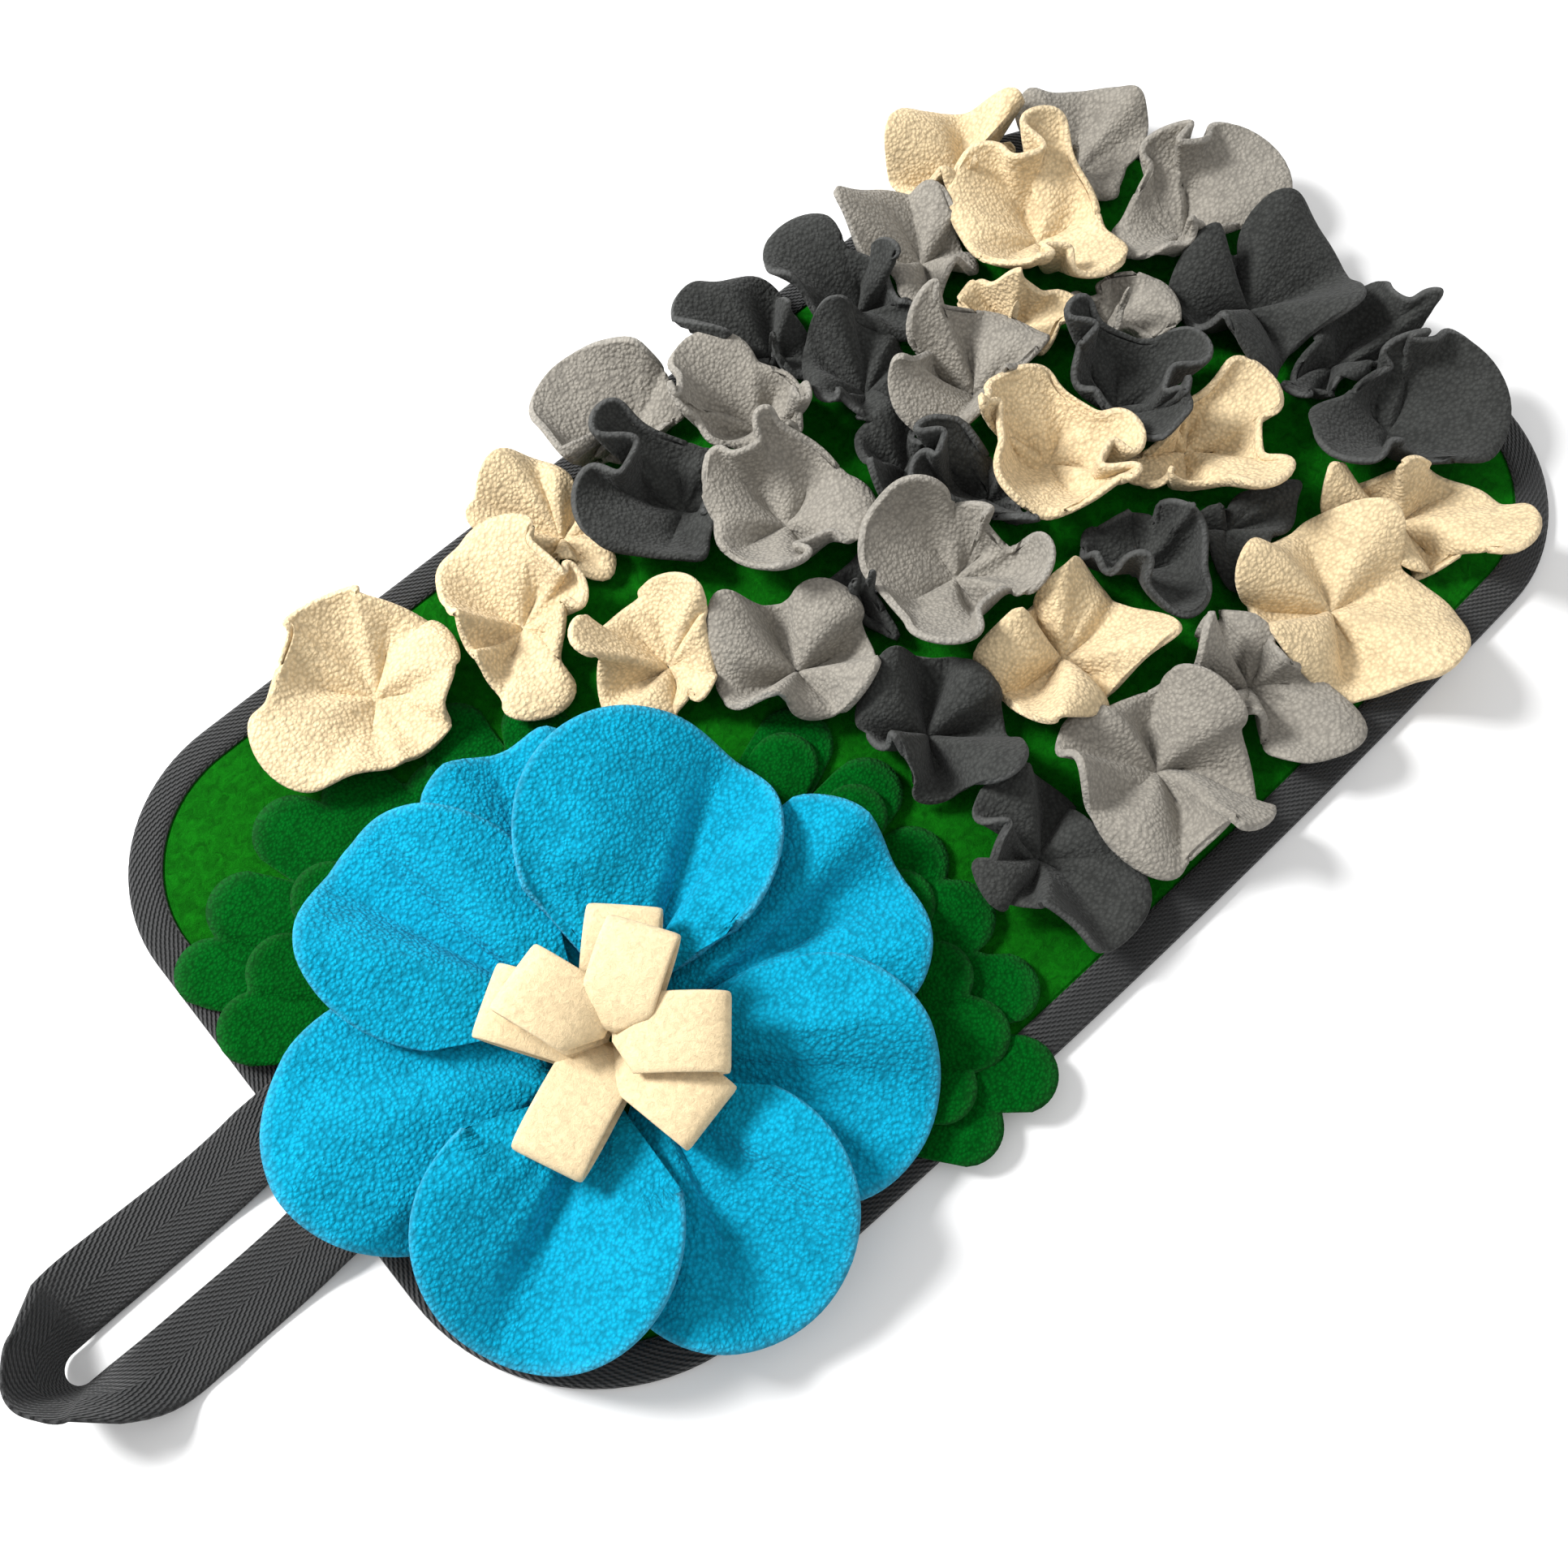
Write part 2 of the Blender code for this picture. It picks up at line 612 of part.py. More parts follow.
def walls_round(index):
    """Every leaning wall round one ruffle: its neighbours and the petals beside it."""
    me = RUFFLES[index]
    site = ruffle_site(me)
    walls = []
    for other_index, other in enumerate(RUFFLES):
        apart = math.hypot(other.x - me.x, other.y - me.y)
        if other_index != index and apart < 2.0 * RUFFLE_RADIUS:
            walls.append(wall_between(site, ruffle_site(other)))
    for petal in PETALS:
        if petal_beside(petal, me):
            walls.append(wall_between(site, petal_site(petal)))
    for tongue in TONGUES_OVER_RUFFLES:
        if math.hypot(tongue.x - me.x, tongue.y - me.y) < RUFFLE_RADIUS + tongue.radius:
            over = Site(tongue.x, tongue.y, tongue.radius, tongue.radius, me.rank + 1)
            walls.append(wall_between(site, over))
    return walls


def petal_beside(petal, ruffle):
    site = petal_site(petal)
    return math.hypot(site.x - ruffle.x, site.y - ruffle.y) < RUFFLE_RADIUS + PETAL_ROOM + BESIDE


def free_reach(walls, foot, turn, height, most):
    """How far a piece can reach from foot in one direction at this height, a gap away from every wall."""
    way = heading(turn)
    reach = most
    for normal, offset in walls:
        across = float(normal[:2] @ way)
        if across > 1e-6:
            left = offset - FLEECE / 2 - GAP / 2 - float(normal[:2] @ foot) - normal[2] * height
            reach = min(reach, left / across)
    return max(reach, min(most, LEAST_REACH))


def rows_spline(rows, place):
    """The values at a place on the smooth closed line through rows, whose first value turns once round."""
    count = len(rows)
    index = int(math.floor(place))
    t = place - index
    knots = []
    for shift in (-1, 0, 1, 2):
        lap, row = divmod(index + shift, count)
        knots.append(np.array(rows[row]) + np.array([360.0 * lap] + [0.0] * (len(rows[row]) - 1)))
    before, start, end, after = knots
    return (
        start
        + 0.5 * t * (end - before)
        + t * t * (before - 2.5 * start + 2.0 * end - 0.5 * after)
        + t**3 * (1.5 * (start - end) + 0.5 * (after - before))
    )


def tucked_share(walls, foot, turn, height):
    """The rim's height where it dips to pass under a neighbour that leans over it."""
    worth = []
    for share in TUCK_STEPS:
        tried = height * share
        worth.append(free_reach(walls, foot, turn, SOLE + tried, RUFFLE_RADIUS) + TUCK_PRICE * tried)
    return TUCK_STEPS[int(np.argmax(worth))]


def ruffle_columns(index, steps):
    """For each column round a ruffle: its direction, its share of the reach there and its two heights."""
    ruffle = RUFFLES[index]
    walls = walls_round(index)
    foot = np.array([ruffle.x, ruffle.y], float)
    rows = [(fold.turn + ruffle.turn, fold.reach, fold.middle, fold.height) for fold in FOLDS[ruffle.folds]]
    columns = np.array([rows_spline(rows, step / steps) for step in range(steps * len(rows))])
    columns[:, 2:] *= ruffle.rise
    tucked = np.array([tucked_share(walls, foot, row[0], row[3]) for row in columns])
    tucked = 0.5 * tucked + 0.25 * (np.roll(tucked, 1) + np.roll(tucked, -1))
    columns[:, 2:] *= tucked[:, None]
    return columns


def make_ruffle(index):
    """A disc sewn down at its middle, its rim folded up and down."""
    ruffle = RUFFLES[index]
    walls = walls_round(index)
    foot = np.array([ruffle.x, ruffle.y], float)
    columns = ruffle_columns(index, MOST_COLUMNS // len(FOLDS[ruffle.folds]))
    count = len(columns)
    mean_share = float(columns[:, 1].mean())
    bm = bmesh.new()
    middle = bm.verts.new((foot[0] * MM, foot[1] * MM, SOLE * MM))
    rows = []
    for share, folding in zip(RUFFLE_RINGS, RING_FOLDING):
        row = []
        for step, (turn, reach_share, half_way, height) in enumerate(columns):
            even = columns[0][0] + 360.0 * step / count
            turn = even + (turn - even) * folding
            folded = mean_share + (reach_share - mean_share) * folding
            most = min(SLACK * math.sqrt(RUFFLE_RADIUS**2 - height**2), REACH_PER_ROOM * ruffle.room)
            rim = folded * free_reach(walls, foot, turn, SOLE + height, most)
            lift = share * (height * (2.0 * share - 1.0) + 4.0 * half_way * (1.0 - share))
            free = free_reach(walls, foot, turn, SOLE + lift, most)
            x, y = foot + min(rim * (1.0 - (1.0 - share) ** BOWL_OUT), free) * heading(turn)
            row.append(bm.verts.new((x * MM, y * MM, (SOLE + lift + edge_lift(x, y)) * MM)))
        rows.append(row)
    for step in range(count):
        after = (step + 1) % count
        bm.faces.new((middle, rows[0][step], rows[0][after]))
        for inner, outer in zip(rows, rows[1:]):
            bm.faces.new((inner[step], outer[step], outer[after], inner[after]))
    return bm


def crossing_side(crossing):
    """The direction across a crossing, towards the petal that lies under."""
    out = heading(crossing.azimuth)
    aside = np.array([-out[1], out[0]])
    return aside if aside @ heading(PETALS[crossing.under].azimuth) > 0 else -aside


def petal_slopes(number):
    """The sheets that a petal stays above or below, as (slope, height, whether above), its floor first."""
    petal = PETALS[number]
    slopes = [(PETAL_FLOOR_SLOPE * heading(petal.azimuth), PETAL_FLOOR, True)]
    for crossing in CROSSINGS:
        if number not in (crossing.over, crossing.under):
            continue
        slope = CROSSING_OUT * heading(crossing.azimuth) + CROSSING_SIDE * crossing_side(crossing)
        slopes.append((slope, crossing.height, number == crossing.over))
    return slopes


def petal_side_walls(number):
    petal = PETALS[number]
    flower = np.array([FLOWER_X, FLOWER_Y])
    walls = []
    for crossing in CROSSINGS:
        if number == crossing.under:
            aside = crossing_side(crossing)
            limit = CROSSING_HIDDEN - float(aside @ flower)
            walls.append((np.array([-aside[0], -aside[1], 0.0]), limit))
    for ruffle in RUFFLES:
        if petal_beside(petal, ruffle):
            walls.append(wall_between(petal_site(petal), ruffle_site(ruffle)))
    return walls


def kept_height(slopes, x, y, height):
    """The height, moved above or below each sloping sheet that a petal must keep to."""
    from_middle = np.array([x - FLOWER_X, y - FLOWER_Y])
    out = float(np.hypot(*from_middle))
    if out < PETAL_SEAT:
        slopes = slopes[1:] + [(np.zeros(2), LEAF_BOTTOM + LEAF + GAP / 2, True)]
    if out < CUP_REACH:
        slopes = slopes + [(CUP_SLOPE * from_middle / out, CUP_BOTTOM, False)]
    for slope, level, above in sorted(slopes, key=lambda row: row[2], reverse=True):
        room = (FLEECE / 2 + GAP / 2) * math.sqrt(1.0 + float(slope @ slope))
        at = level + float(slope @ from_middle)
        height = max(height, at + room) if above else min(height, at - room)
    return height


def make_petal(number):
    """A round piece pinched at its inner end, fanned out from there and cupped along its folds."""
    petal = PETALS[number]
    slopes = petal_slopes(number)
    walls = petal_side_walls(number)
    base = np.array([FLOWER_X, FLOWER_Y]) + PETAL_APEX * heading(petal.azimuth)
    knots = np.linspace(-1.0, 1.0, len(petal.rims))
    bm = bmesh.new()
    rows = []
    for share in PETAL_RINGS:
        row = []
        for step in range(PETAL_COLUMNS + 1):
            across = -1.0 + 2.0 * step / PETAL_COLUMNS
            turn = petal.azimuth - across * PETAL_SPREAD * petal.width
            reach = petal.reach * math.cos(math.radians(across * PETAL_SPREAD)) ** PETAL_ROUNDNESS
            middle = float(np.interp(across, knots, petal.middles)) - petal.base
            rim = float(np.interp(across, knots, petal.rims)) - petal.base
            height = petal.base + share * (rim * (2.0 * share - 1.0) + 4.0 * middle * (1.0 - share))
            rim_height = petal.base + rim
            most = free_reach(walls, base, turn, rim_height, reach)
            pinch = min(PETAL_RINGS[0] * petal.reach, 0.5 * most)
            out = pinch + (most - pinch) * (share - PETAL_RINGS[0]) / (1.0 - PETAL_RINGS[0])
            x, y = base + free_reach(walls, base, turn, height, out) * heading(turn)
            row.append(bm.verts.new((x * MM, y * MM, kept_height(slopes, x, y, height) * MM)))
        rows.append(row)
    for inner, outer in zip(rows, rows[1:]):
        for index in range(PETAL_COLUMNS):
            bm.faces.new((inner[index + 1], outer[index + 1], outer[index], inner[index]))
    return bm


def make_centre_loop(number):
    """A strip bent out, over and back, narrow where it is sewn."""
    loop = CENTRE_LOOPS[number]
    out = heading(loop.azimuth)
    aside = np.array([-out[1], out[0]])
    bm = bmesh.new()
    rows = []
    for point in LOOP_PATH:
        reach = point.out * loop.reach
        x, y = np.array([FLOWER_X, FLOWER_Y]) + reach * out
        half = min(LOOP_SPLAY * reach - GAP, LOOP_WIDTH / 2)
        seat = CUP_BOTTOM + GAP + CUP_SLOPE * math.hypot(reach, half)
        z = seat + loop.tier * TIER_HEIGHT + point.up
        row = []
        for side in (-half, half):
            row.append(bm.verts.new(((x + aside[0] * side) * MM, (y + aside[1] * side) * MM, z * MM)))
        rows.append(row)
    for row, after in zip(rows, rows[1:]):
        bm.faces.new((row[0], after[0], after[1], row[1]))
    return bm


def build():
    clear_scene()
    home = make_collection("snuffle_mat")
    materials = make_materials()
    add_object(make_felt(), "mat_felt", materials["felt"], home)
    add_object(make_binding(), "binding", materials["tape"], home)
    strap = add_object(make_strap(), "strap_loop", materials["tape"], home)
    add_thickness(strap, STRAP_THICKNESS)
    for row in LEAVES:
        leaf = add_object(make_leaf(row), row.name, materials["leaf"], home)
        add_thickness(leaf, LEAF)
    for number in range(len(PETALS)):
        petal = add_object(make_petal(number), f"petal_{number + 1}", materials["petal"], home)
        add_thickness(petal, FLEECE)
    for number in range(len(CENTRE_LOOPS)):
        loop = add_object(make_centre_loop(number), f"centre_loop_{number + 1}", materials["cream"], home)
        add_thickness(loop, LOOP_THICKNESS)
    for index, ruffle in enumerate(RUFFLES):
        name = f"ruffle_{index + 1:02d}_{ruffle.cloth}"
        add_thickness(add_object(make_ruffle(index), name, materials[ruffle.cloth], home), FLEECE)


build()
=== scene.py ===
"""The looks of a snuffle mat: felt base, woven binding, strap, leaves, a fleece flower and fleece ruffles.

Lengths in the tables are millimetres and angles degrees. MM turns them into metres.
"""

import math
from collections import namedtuple

import bmesh
import bpy
import numpy as np
from bpy.props import FloatProperty, FloatVectorProperty, PointerProperty
from bpy.types import Operator, Panel, PropertyGroup
from mathutils import Matrix, Vector


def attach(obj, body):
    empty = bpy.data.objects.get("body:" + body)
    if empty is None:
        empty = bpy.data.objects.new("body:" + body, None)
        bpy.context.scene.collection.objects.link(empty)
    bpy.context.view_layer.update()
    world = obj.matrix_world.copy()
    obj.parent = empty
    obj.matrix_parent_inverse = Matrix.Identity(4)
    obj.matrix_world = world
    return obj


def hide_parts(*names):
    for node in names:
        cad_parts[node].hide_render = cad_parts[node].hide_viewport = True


bl_info = {
    "name": "Snuffle mat",
    "version": (1, 0, 0),
    "blender": (4, 5, 0),
    "location": "3D View > Sidebar > Snuffle mat",
    "description": "Builds a felt mat with a fleece flower, leaves and ruffles, and its stage",
    "category": "Object",
}

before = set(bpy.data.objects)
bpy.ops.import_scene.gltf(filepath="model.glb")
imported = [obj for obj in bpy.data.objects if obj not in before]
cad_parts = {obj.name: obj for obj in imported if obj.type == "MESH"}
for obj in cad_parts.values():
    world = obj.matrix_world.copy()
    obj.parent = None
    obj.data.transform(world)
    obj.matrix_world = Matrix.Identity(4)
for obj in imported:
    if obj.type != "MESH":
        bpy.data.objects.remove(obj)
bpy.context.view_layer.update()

MM = 0.001
GAP = 0.3  # between a solid and the one that carries it


def rows_of(kind, *rows):
    """A table with one named tuple for each row."""
    return tuple(kind(*row) for row in rows)


# The felt base and the tape folded over its edge
MAT_HALF_LENGTH = 249.0
MAT_HALF_WIDTH = 137.0
NEAR_SIDE_BOW = 7.0
FELT_TOP = 3.0
FELT_INSET = 1.5  # the felt's edge inside the tape
TAPE = 0.7  # its thickness
BINDING_WIDTH = 12.4
CORNER_STEPS = 20
SIDE_STEPS = 24
Corner = namedtuple("Corner", "side_x side_y radius")
CORNERS = rows_of(Corner, (1, -1, 61.0), (1, 1, 77.0), (-1, 1, 59.0), (-1, -1, 73.0))
EdgePoint = namedtuple("EdgePoint", "inset height")
FELT_PROFILE = rows_of(
    EdgePoint,
    (12.7, 0.0), (12.7, 1.1), (FELT_INSET, 1.1), (FELT_INSET, 2.6), (12.7, 2.6), (13.3, FELT_TOP),
)
TAPE_PROFILE = rows_of(
    EdgePoint,
    (BINDING_WIDTH, 0.45), (9.0, 0.40), (5.0, 0.40), (1.8, 0.42), (0.8, 0.80), (0.40, 1.70),
    (0.8, 2.75), (2.0, 3.25), (5.0, 3.32), (9.0, 3.30), (BINDING_WIDTH, 3.26),
)

# The strap's inner edge runs out, round a half circle and back
STRAP_WIDTH = 25.0
STRAP_THICKNESS = 1.1
STRAP_LEG_STEPS = 44
STRAP_COLUMNS = 8
STRAP_TURN_STEPS = 36
STRAP_SLIT_HALF = 5.6
STRAP_SLIT_Y = -11.0
STRAP_TURN_X = -337.0
STRAP_TURN_BANK = 76.0
STRAP_TURN_EASE = 10.0  # the bank that is missing at the turn's two ends, and how fast it is made up
STRAP_TURN_EASING = 8
STRAP_TURN_HEIGHT = 0.8
StrapSection = namedtuple("StrapSection", "x height bank_far bank_near")
STRAP_LEG = rows_of(
    StrapSection,
    (-229.0, 4.7, 0.0, 0.0), (-250.0, 4.8, 0.0, 0.0),
    (-256.0, 4.4, 0.0, 0.0), (-266.0, 1.9, 0.0, 0.0),
    (-276.0, 0.7, 0.0, 0.0), (-300.0, 0.6, 4.0, 0.0),
    (-318.0, 0.6, 14.0, 6.0), (-330.0, 0.8, 34.0, 40.0),
)

FLEECE = 2.7  # its thickness, pile and all
SOLE = FELT_TOP + GAP + 0.9  # the height of a ruffle's sewn middle

# The ruffles' folds: round the disc, how far out the rim lies as a share of the room it has there,
# and how high the cloth stands half way out and at the rim as shares of the ruffle's rise
Fold = namedtuple("Fold", "turn reach middle height")
FOLDS = {
    "open": rows_of(
        Fold,
        (0, 1.00, 0.44, 0.36), (34, 1.00, 0.46, 0.78), (60, 0.84, 0.10, 0.40),
        (88, 1.00, 0.44, 0.72), (128, 1.00, 0.42, 0.34), (160, 0.88, 0.12, 0.44),
        (192, 1.00, 0.50, 0.88), (230, 1.00, 0.44, 0.42), (262, 0.82, 0.10, 0.36),
        (294, 0.98, 0.52, 1.00), (330, 0.88, 0.14, 0.38),
    ),
    "star": rows_of(
        Fold,
        (0, 1.00, 0.44, 0.40), (36, 0.98, 0.30, 0.56), (58, 0.70, 0.56, 1.00),
        (84, 0.96, 0.26, 0.50), (120, 1.00, 0.46, 0.40), (152, 0.94, 0.34, 0.62),
        (174, 0.66, 0.56, 0.96), (204, 1.00, 0.26, 0.46), (248, 1.00, 0.46, 0.48),
        (292, 0.72, 0.50, 0.92), (326, 0.98, 0.24, 0.58),
    ),
    "wing": rows_of(
        Fold,
        (0, 1.00, 0.44, 0.40), (42, 1.00, 0.46, 0.66), (74, 0.84, 0.54, 1.00),
        (98, 0.60, 0.14, 0.56), (122, 0.84, 0.50, 0.90), (152, 1.00, 0.44, 0.58),
        (190, 1.00, 0.40, 0.38), (230, 0.98, 0.48, 0.72), (260, 0.66, 0.14, 0.58),
        (288, 0.84, 0.54, 1.00), (324, 1.00, 0.48, 0.68),
    ),
    "cup": rows_of(
        Fold,
        (0, 1.00, 0.30, 0.52), (40, 1.00, 0.36, 0.72), (78, 0.92, 0.50, 1.00),
        (108, 0.70, 0.20, 0.74), (136, 0.90, 0.40, 0.46), (164, 0.70, 0.18, 0.86),
        (196, 0.92, 0.40, 0.44), (226, 0.70, 0.18, 0.88), (256, 0.86, 0.36, 0.56),
        (288, 0.96, 0.50, 1.00), (322, 1.00, 0.38, 0.74),
    ),
    "wave": rows_of(
        Fold,
        (0, 1.00, 0.42, 0.40), (40, 1.00, 0.40, 0.56), (78, 1.00, 0.48, 0.84),
        (94, 0.84, 0.50, 1.00), (96, 0.64, 0.42, 0.98), (108, 0.54, 0.26, 0.86),
        (122, 0.76, 0.26, 0.72), (138, 1.00, 0.36, 0.62), (176, 1.00, 0.42, 0.38),
        (212, 1.00, 0.40, 0.54), (246, 1.00, 0.48, 0.84), (262, 0.82, 0.50, 1.00),
        (264, 0.62, 0.42, 0.96), (278, 0.54, 0.26, 0.82), (294, 0.78, 0.28, 0.66),
        (320, 1.00, 0.38, 0.56),
    ),
    "rose": rows_of(
        Fold,
        (0, 1.00, 0.36, 0.52), (36, 1.00, 0.40, 0.64), (72, 1.00, 0.48, 0.86),
        (92, 0.84, 0.50, 1.00), (92, 0.64, 0.46, 1.00), (84, 0.50, 0.40, 0.92),
        (106, 0.40, 0.32, 0.84), (132, 0.62, 0.28, 0.76), (152, 0.94, 0.34, 0.66),
        (192, 1.00, 0.42, 0.50), (230, 1.00, 0.48, 0.80), (248, 0.80, 0.50, 1.00),
        (246, 0.60, 0.44, 0.92), (264, 0.50, 0.30, 0.80), (286, 0.74, 0.28, 0.70),
        (322, 1.00, 0.36, 0.60),
    ),
}

# One row for each ruffle: where it is sewn down, the room it takes, its folds and how far they are turned,
# its rise, and its place in the order of overlap, the greater rank above
Ruffle = namedtuple("Ruffle", "cloth x y room folds turn rise rank")
RUFFLES = rows_of(
    Ruffle,
    ("cream", -137, 104, 35, "wing", 175, 22, 5),
    ("cream", -82, 90, 31, "wing", 80, 22, 4),
    ("cream", -49, 108, 22, "open", 60, 22, 2),
    ("cream", -53, 43, 30, "star", 85, 24, 5),
    ("light", -21, 11, 34, "open", 10, 22, 6),
    ("light", -4, 120, 28, "cup", 100, 22, 3),
    ("dark", -9, 87, 36, "wave", 200, 27, 5),
    ("light", 34, 94, 25, "wave", 45, 27, 6),
    ("light", 15, 57, 30, "wave", 330, 27, 7),
    ("dark", 58, 113, 27, "star", 80, 24, 4),
    ("dark", 97, 106, 27, "wing", 70, 25, 5),
    ("dark", 74, 78, 22, "star", 20, 25, 6),
    ("dark", 62, 44, 24, "wave", 110, 27, 6),
    ("dark", 76, 15, 22, "wave", 15, 27, 8),
    ("light", 46, 0, 28, "cup", 150, 27, 8),
    ("dark", 14, 16, 19, "wave", 45, 23, 5),
    ("light", 104, 50, 27, "wing", 10, 25, 8),
    ("cream", 103, 10, 26, "rose", 30, 29, 9),
    ("cream", 133, 60, 26, "cup", 330, 25, 6),
    ("light", 130, 106, 29, "open", 80, 23, 5),
    ("cream", 171, 83, 36, "wave", 320, 27, 7),
    ("cream", 167, 120, 19, "open", 75, 22, 4),
    ("light", 206, 97, 20, "wing", 60, 21, 3),
    ("light", 214, 47, 35, "wave", 315, 25, 5),
    ("light", 163, 37, 28, "wave", 160, 25, 5),
    ("dark", 207, 6, 33, "open", 0, 23, 6),
    ("dark", 139, 10, 26, "rose", 200, 27, 8),
    ("cream", 144, -20, 30, "cup", 330, 25, 7),
    ("dark", 211, -33, 26, "wave", 80, 25, 5),
    ("dark", 205, -65, 26, "wave", 300, 25, 6),
    ("cream", 179, -92, 32, "wing", 355, 23, 5),
    ("cream", 134, -99, 35, "open", 85, 19, 7),
    ("dark", 131, -52, 22, "open", 0, 21, 4),
    ("dark", 97, -41, 27, "cup", 270, 27, 6),
    ("cream", 51, -48, 30, "open", 20, 23, 7),
    ("light", 91, -99, 29, "star", 55, 23, 6),
    ("light", 45, -99, 34, "star", 90, 23, 7),
    ("dark", -4, -37, 31, "open", 350, 23, 6),
    ("dark", -7, -94, 33, "star", 60, 23, 5),
)
COLUMNS_PER_TURN = 144
RUFFLE_RADIUS = 44.0  # of the disc, measured flat
DRAPED_RADIUS = 53.0  # the cloth from its sewn middle to its rim, along the folds
SLACK = 0.97  # draped cloth reaches less far than cloth drawn tight
REACH_START = 26.5  # how far a ruffle may reach, and how much more for each millimetre of its room
REACH_PER_ROOM = 0.48
REACH_FILL = 0.48  # how much of what a fold leaves free the rim fills again
LEAST_REACH = 4.0
LEAST_ACROSS = 1e-3  # a wall that runs more nearly along a way than this doesn't stop it
REACH_ROUNDING = 9.0  # the greater, the sharper the corners between walls

# The wall between two neighbours leans over the lower one, and its foot moves towards the upper one's
# sewn middle. Ruffles press over it.
LEAN = 40.0
FOOT_PULL = 0.70
OVERLAP_RANKS = 2.0  # the difference of rank that makes most of the lean
RUFFLE_FOOT = 12.0  # how near a wall's foot may come to a sewn middle
PRESS_EVEN = 3.4  # between two ruffles of one rank
PRESS_OVER = 8.0  # and how much more the upper one does
PETAL_ROOM = 43.0
PETAL_FOOT = 38.0
PETAL_RANK = 12
PETAL_MIDDLE = 0.52  # the middle of the room that a petal takes, as a share of its reach
BESIDE = 6.0  # a ruffle whose disc comes as near as this to a petal's room keeps clear of it

# A rim with little room is tucked under: the shares of its height it may keep, what a millimetre of height
# is worth in millimetres of reach, and the degrees over which the tucks even out
TUCK_STEPS = (1.0, 0.85, 0.7, 0.55, 0.4)
TUCK_PRICE = 0.45
TUCK_BLUR = 9.0

# Rings of a ruffle from its middle out: the share of the way to the rim, how much of the rim's folds the
# ring has, and the cloth's thickness there as a share
Ring = namedtuple("Ring", "share folding thickness")
RUFFLE_RINGS = rows_of(
    Ring,
    (0.05, 0.05, 1.0), (0.11, 0.14, 1.0), (0.19, 0.30, 1.0),
    (0.28, 0.48, 1.0), (0.37, 0.66, 1.0), (0.46, 0.80, 1.0),
    (0.56, 0.90, 1.0), (0.66, 0.96, 1.0), (0.76, 0.99, 1.0),
    (0.85, 1.0, 1.0), (0.92, 1.0, 1.0), (0.965, 1.0, 1.0),
    (0.988, 1.0, 0.78), (1.0, 1.0, 0.36),
)
# The flutes between the main folds, for each way of folding: how many go round, how far the rim draws in
# between them as a share of the reach, how much it rises, how far it swings sideways, how deep a crease
# runs down from each towards the sewn middle, and how steeply the bowl turns up
Flutes = namedtuple("Flutes", "count draw rise swing crease bowl")
FLUTES = {
    "open": Flutes(4, 0.12, 4.5, 2.4, 3.8, 1.25),
    "star": Flutes(4, 0.24, 5.0, 4.0, 4.0, 1.3),
    "wing": Flutes(4, 0.30, 4.0, 4.4, 4.2, 1.35),
    "cup": Flutes(4, 0.36, 1.5, 3.8, 4.6, 1.5),
    "wave": Flutes(4, 0.38, 1.5, 3.8, 4.6, 1.5),
    "rose": Flutes(5, 0.38, 1.5, 3.6, 4.2, 1.5),
}
BOWL_OUT = 1.25  # the bowl of an open ruffle, by which the others' middles are lowered
FLUTE_LEAD = 0.9  # how far the rise runs ahead of the draw, in radians
FLUTE_TURN = 67.0  # how far the flutes are turned from one ruffle to the next
FLUTED_ROOM = 30.0  # a ruffle with less room than this has smaller flutes
LEAST_BEND = 17.0  # the flutes of a narrower ruffle swing as if its rim lay this far out
# Waves round a ruffle: their size, how many go round, and how far they turn from one ruffle to the next
Wave = namedtuple("Wave", "size count turn")
FLUTE_SHIFTS = rows_of(Wave, (0.55, 1, 41.0), (0.4, 2, -77.0))
FLUTE_STRENGTH = 0.80
FLUTE_STRENGTH_WAVE = Wave(0.35, 1, 113.0)
CREASE_SIZE = 5.0
CREASE_MEAN = 1.27  # of the creases' own wave, so that they lie as far under the bowl as over it
RIM_CURL = 2.0  # how far the rim turns down, and where that starts on the way out
CURL_START = 0.72
LEAST_LIFT = 0.12  # above the sole, and how that climbs towards the rim
LEAST_LIFT_SLOPE = 0.8
RISE_MORE = 1.22  # the visible folds stand this much higher than the solids' do

# The flower
FLOWER = np.array([-151.0, -48.0])
PETAL_APEX = 13.0  # a petal's inner end, from the flower's middle
PETAL_COLUMNS = 72
PETAL_SPREAD = 72.0  # degrees to each side of a petal whose width is 1
PETAL_ROUNDNESS = 0.62
PETAL_FLOOR = 5.3  # what the petals stay above, and how it climbs outwards
PETAL_FLOOR_SLOPE = 0.065
PETAL_SEAT = 36.0  # so far out the petals lie on the leaves
CUP_BOTTOM = 14.2  # what the petals stay below, so far as the strips in the middle reach
CUP_SLOPE = 0.20
CUP_REACH = 52.0
Petal = namedtuple("Petal", "azimuth reach width base middles rims")
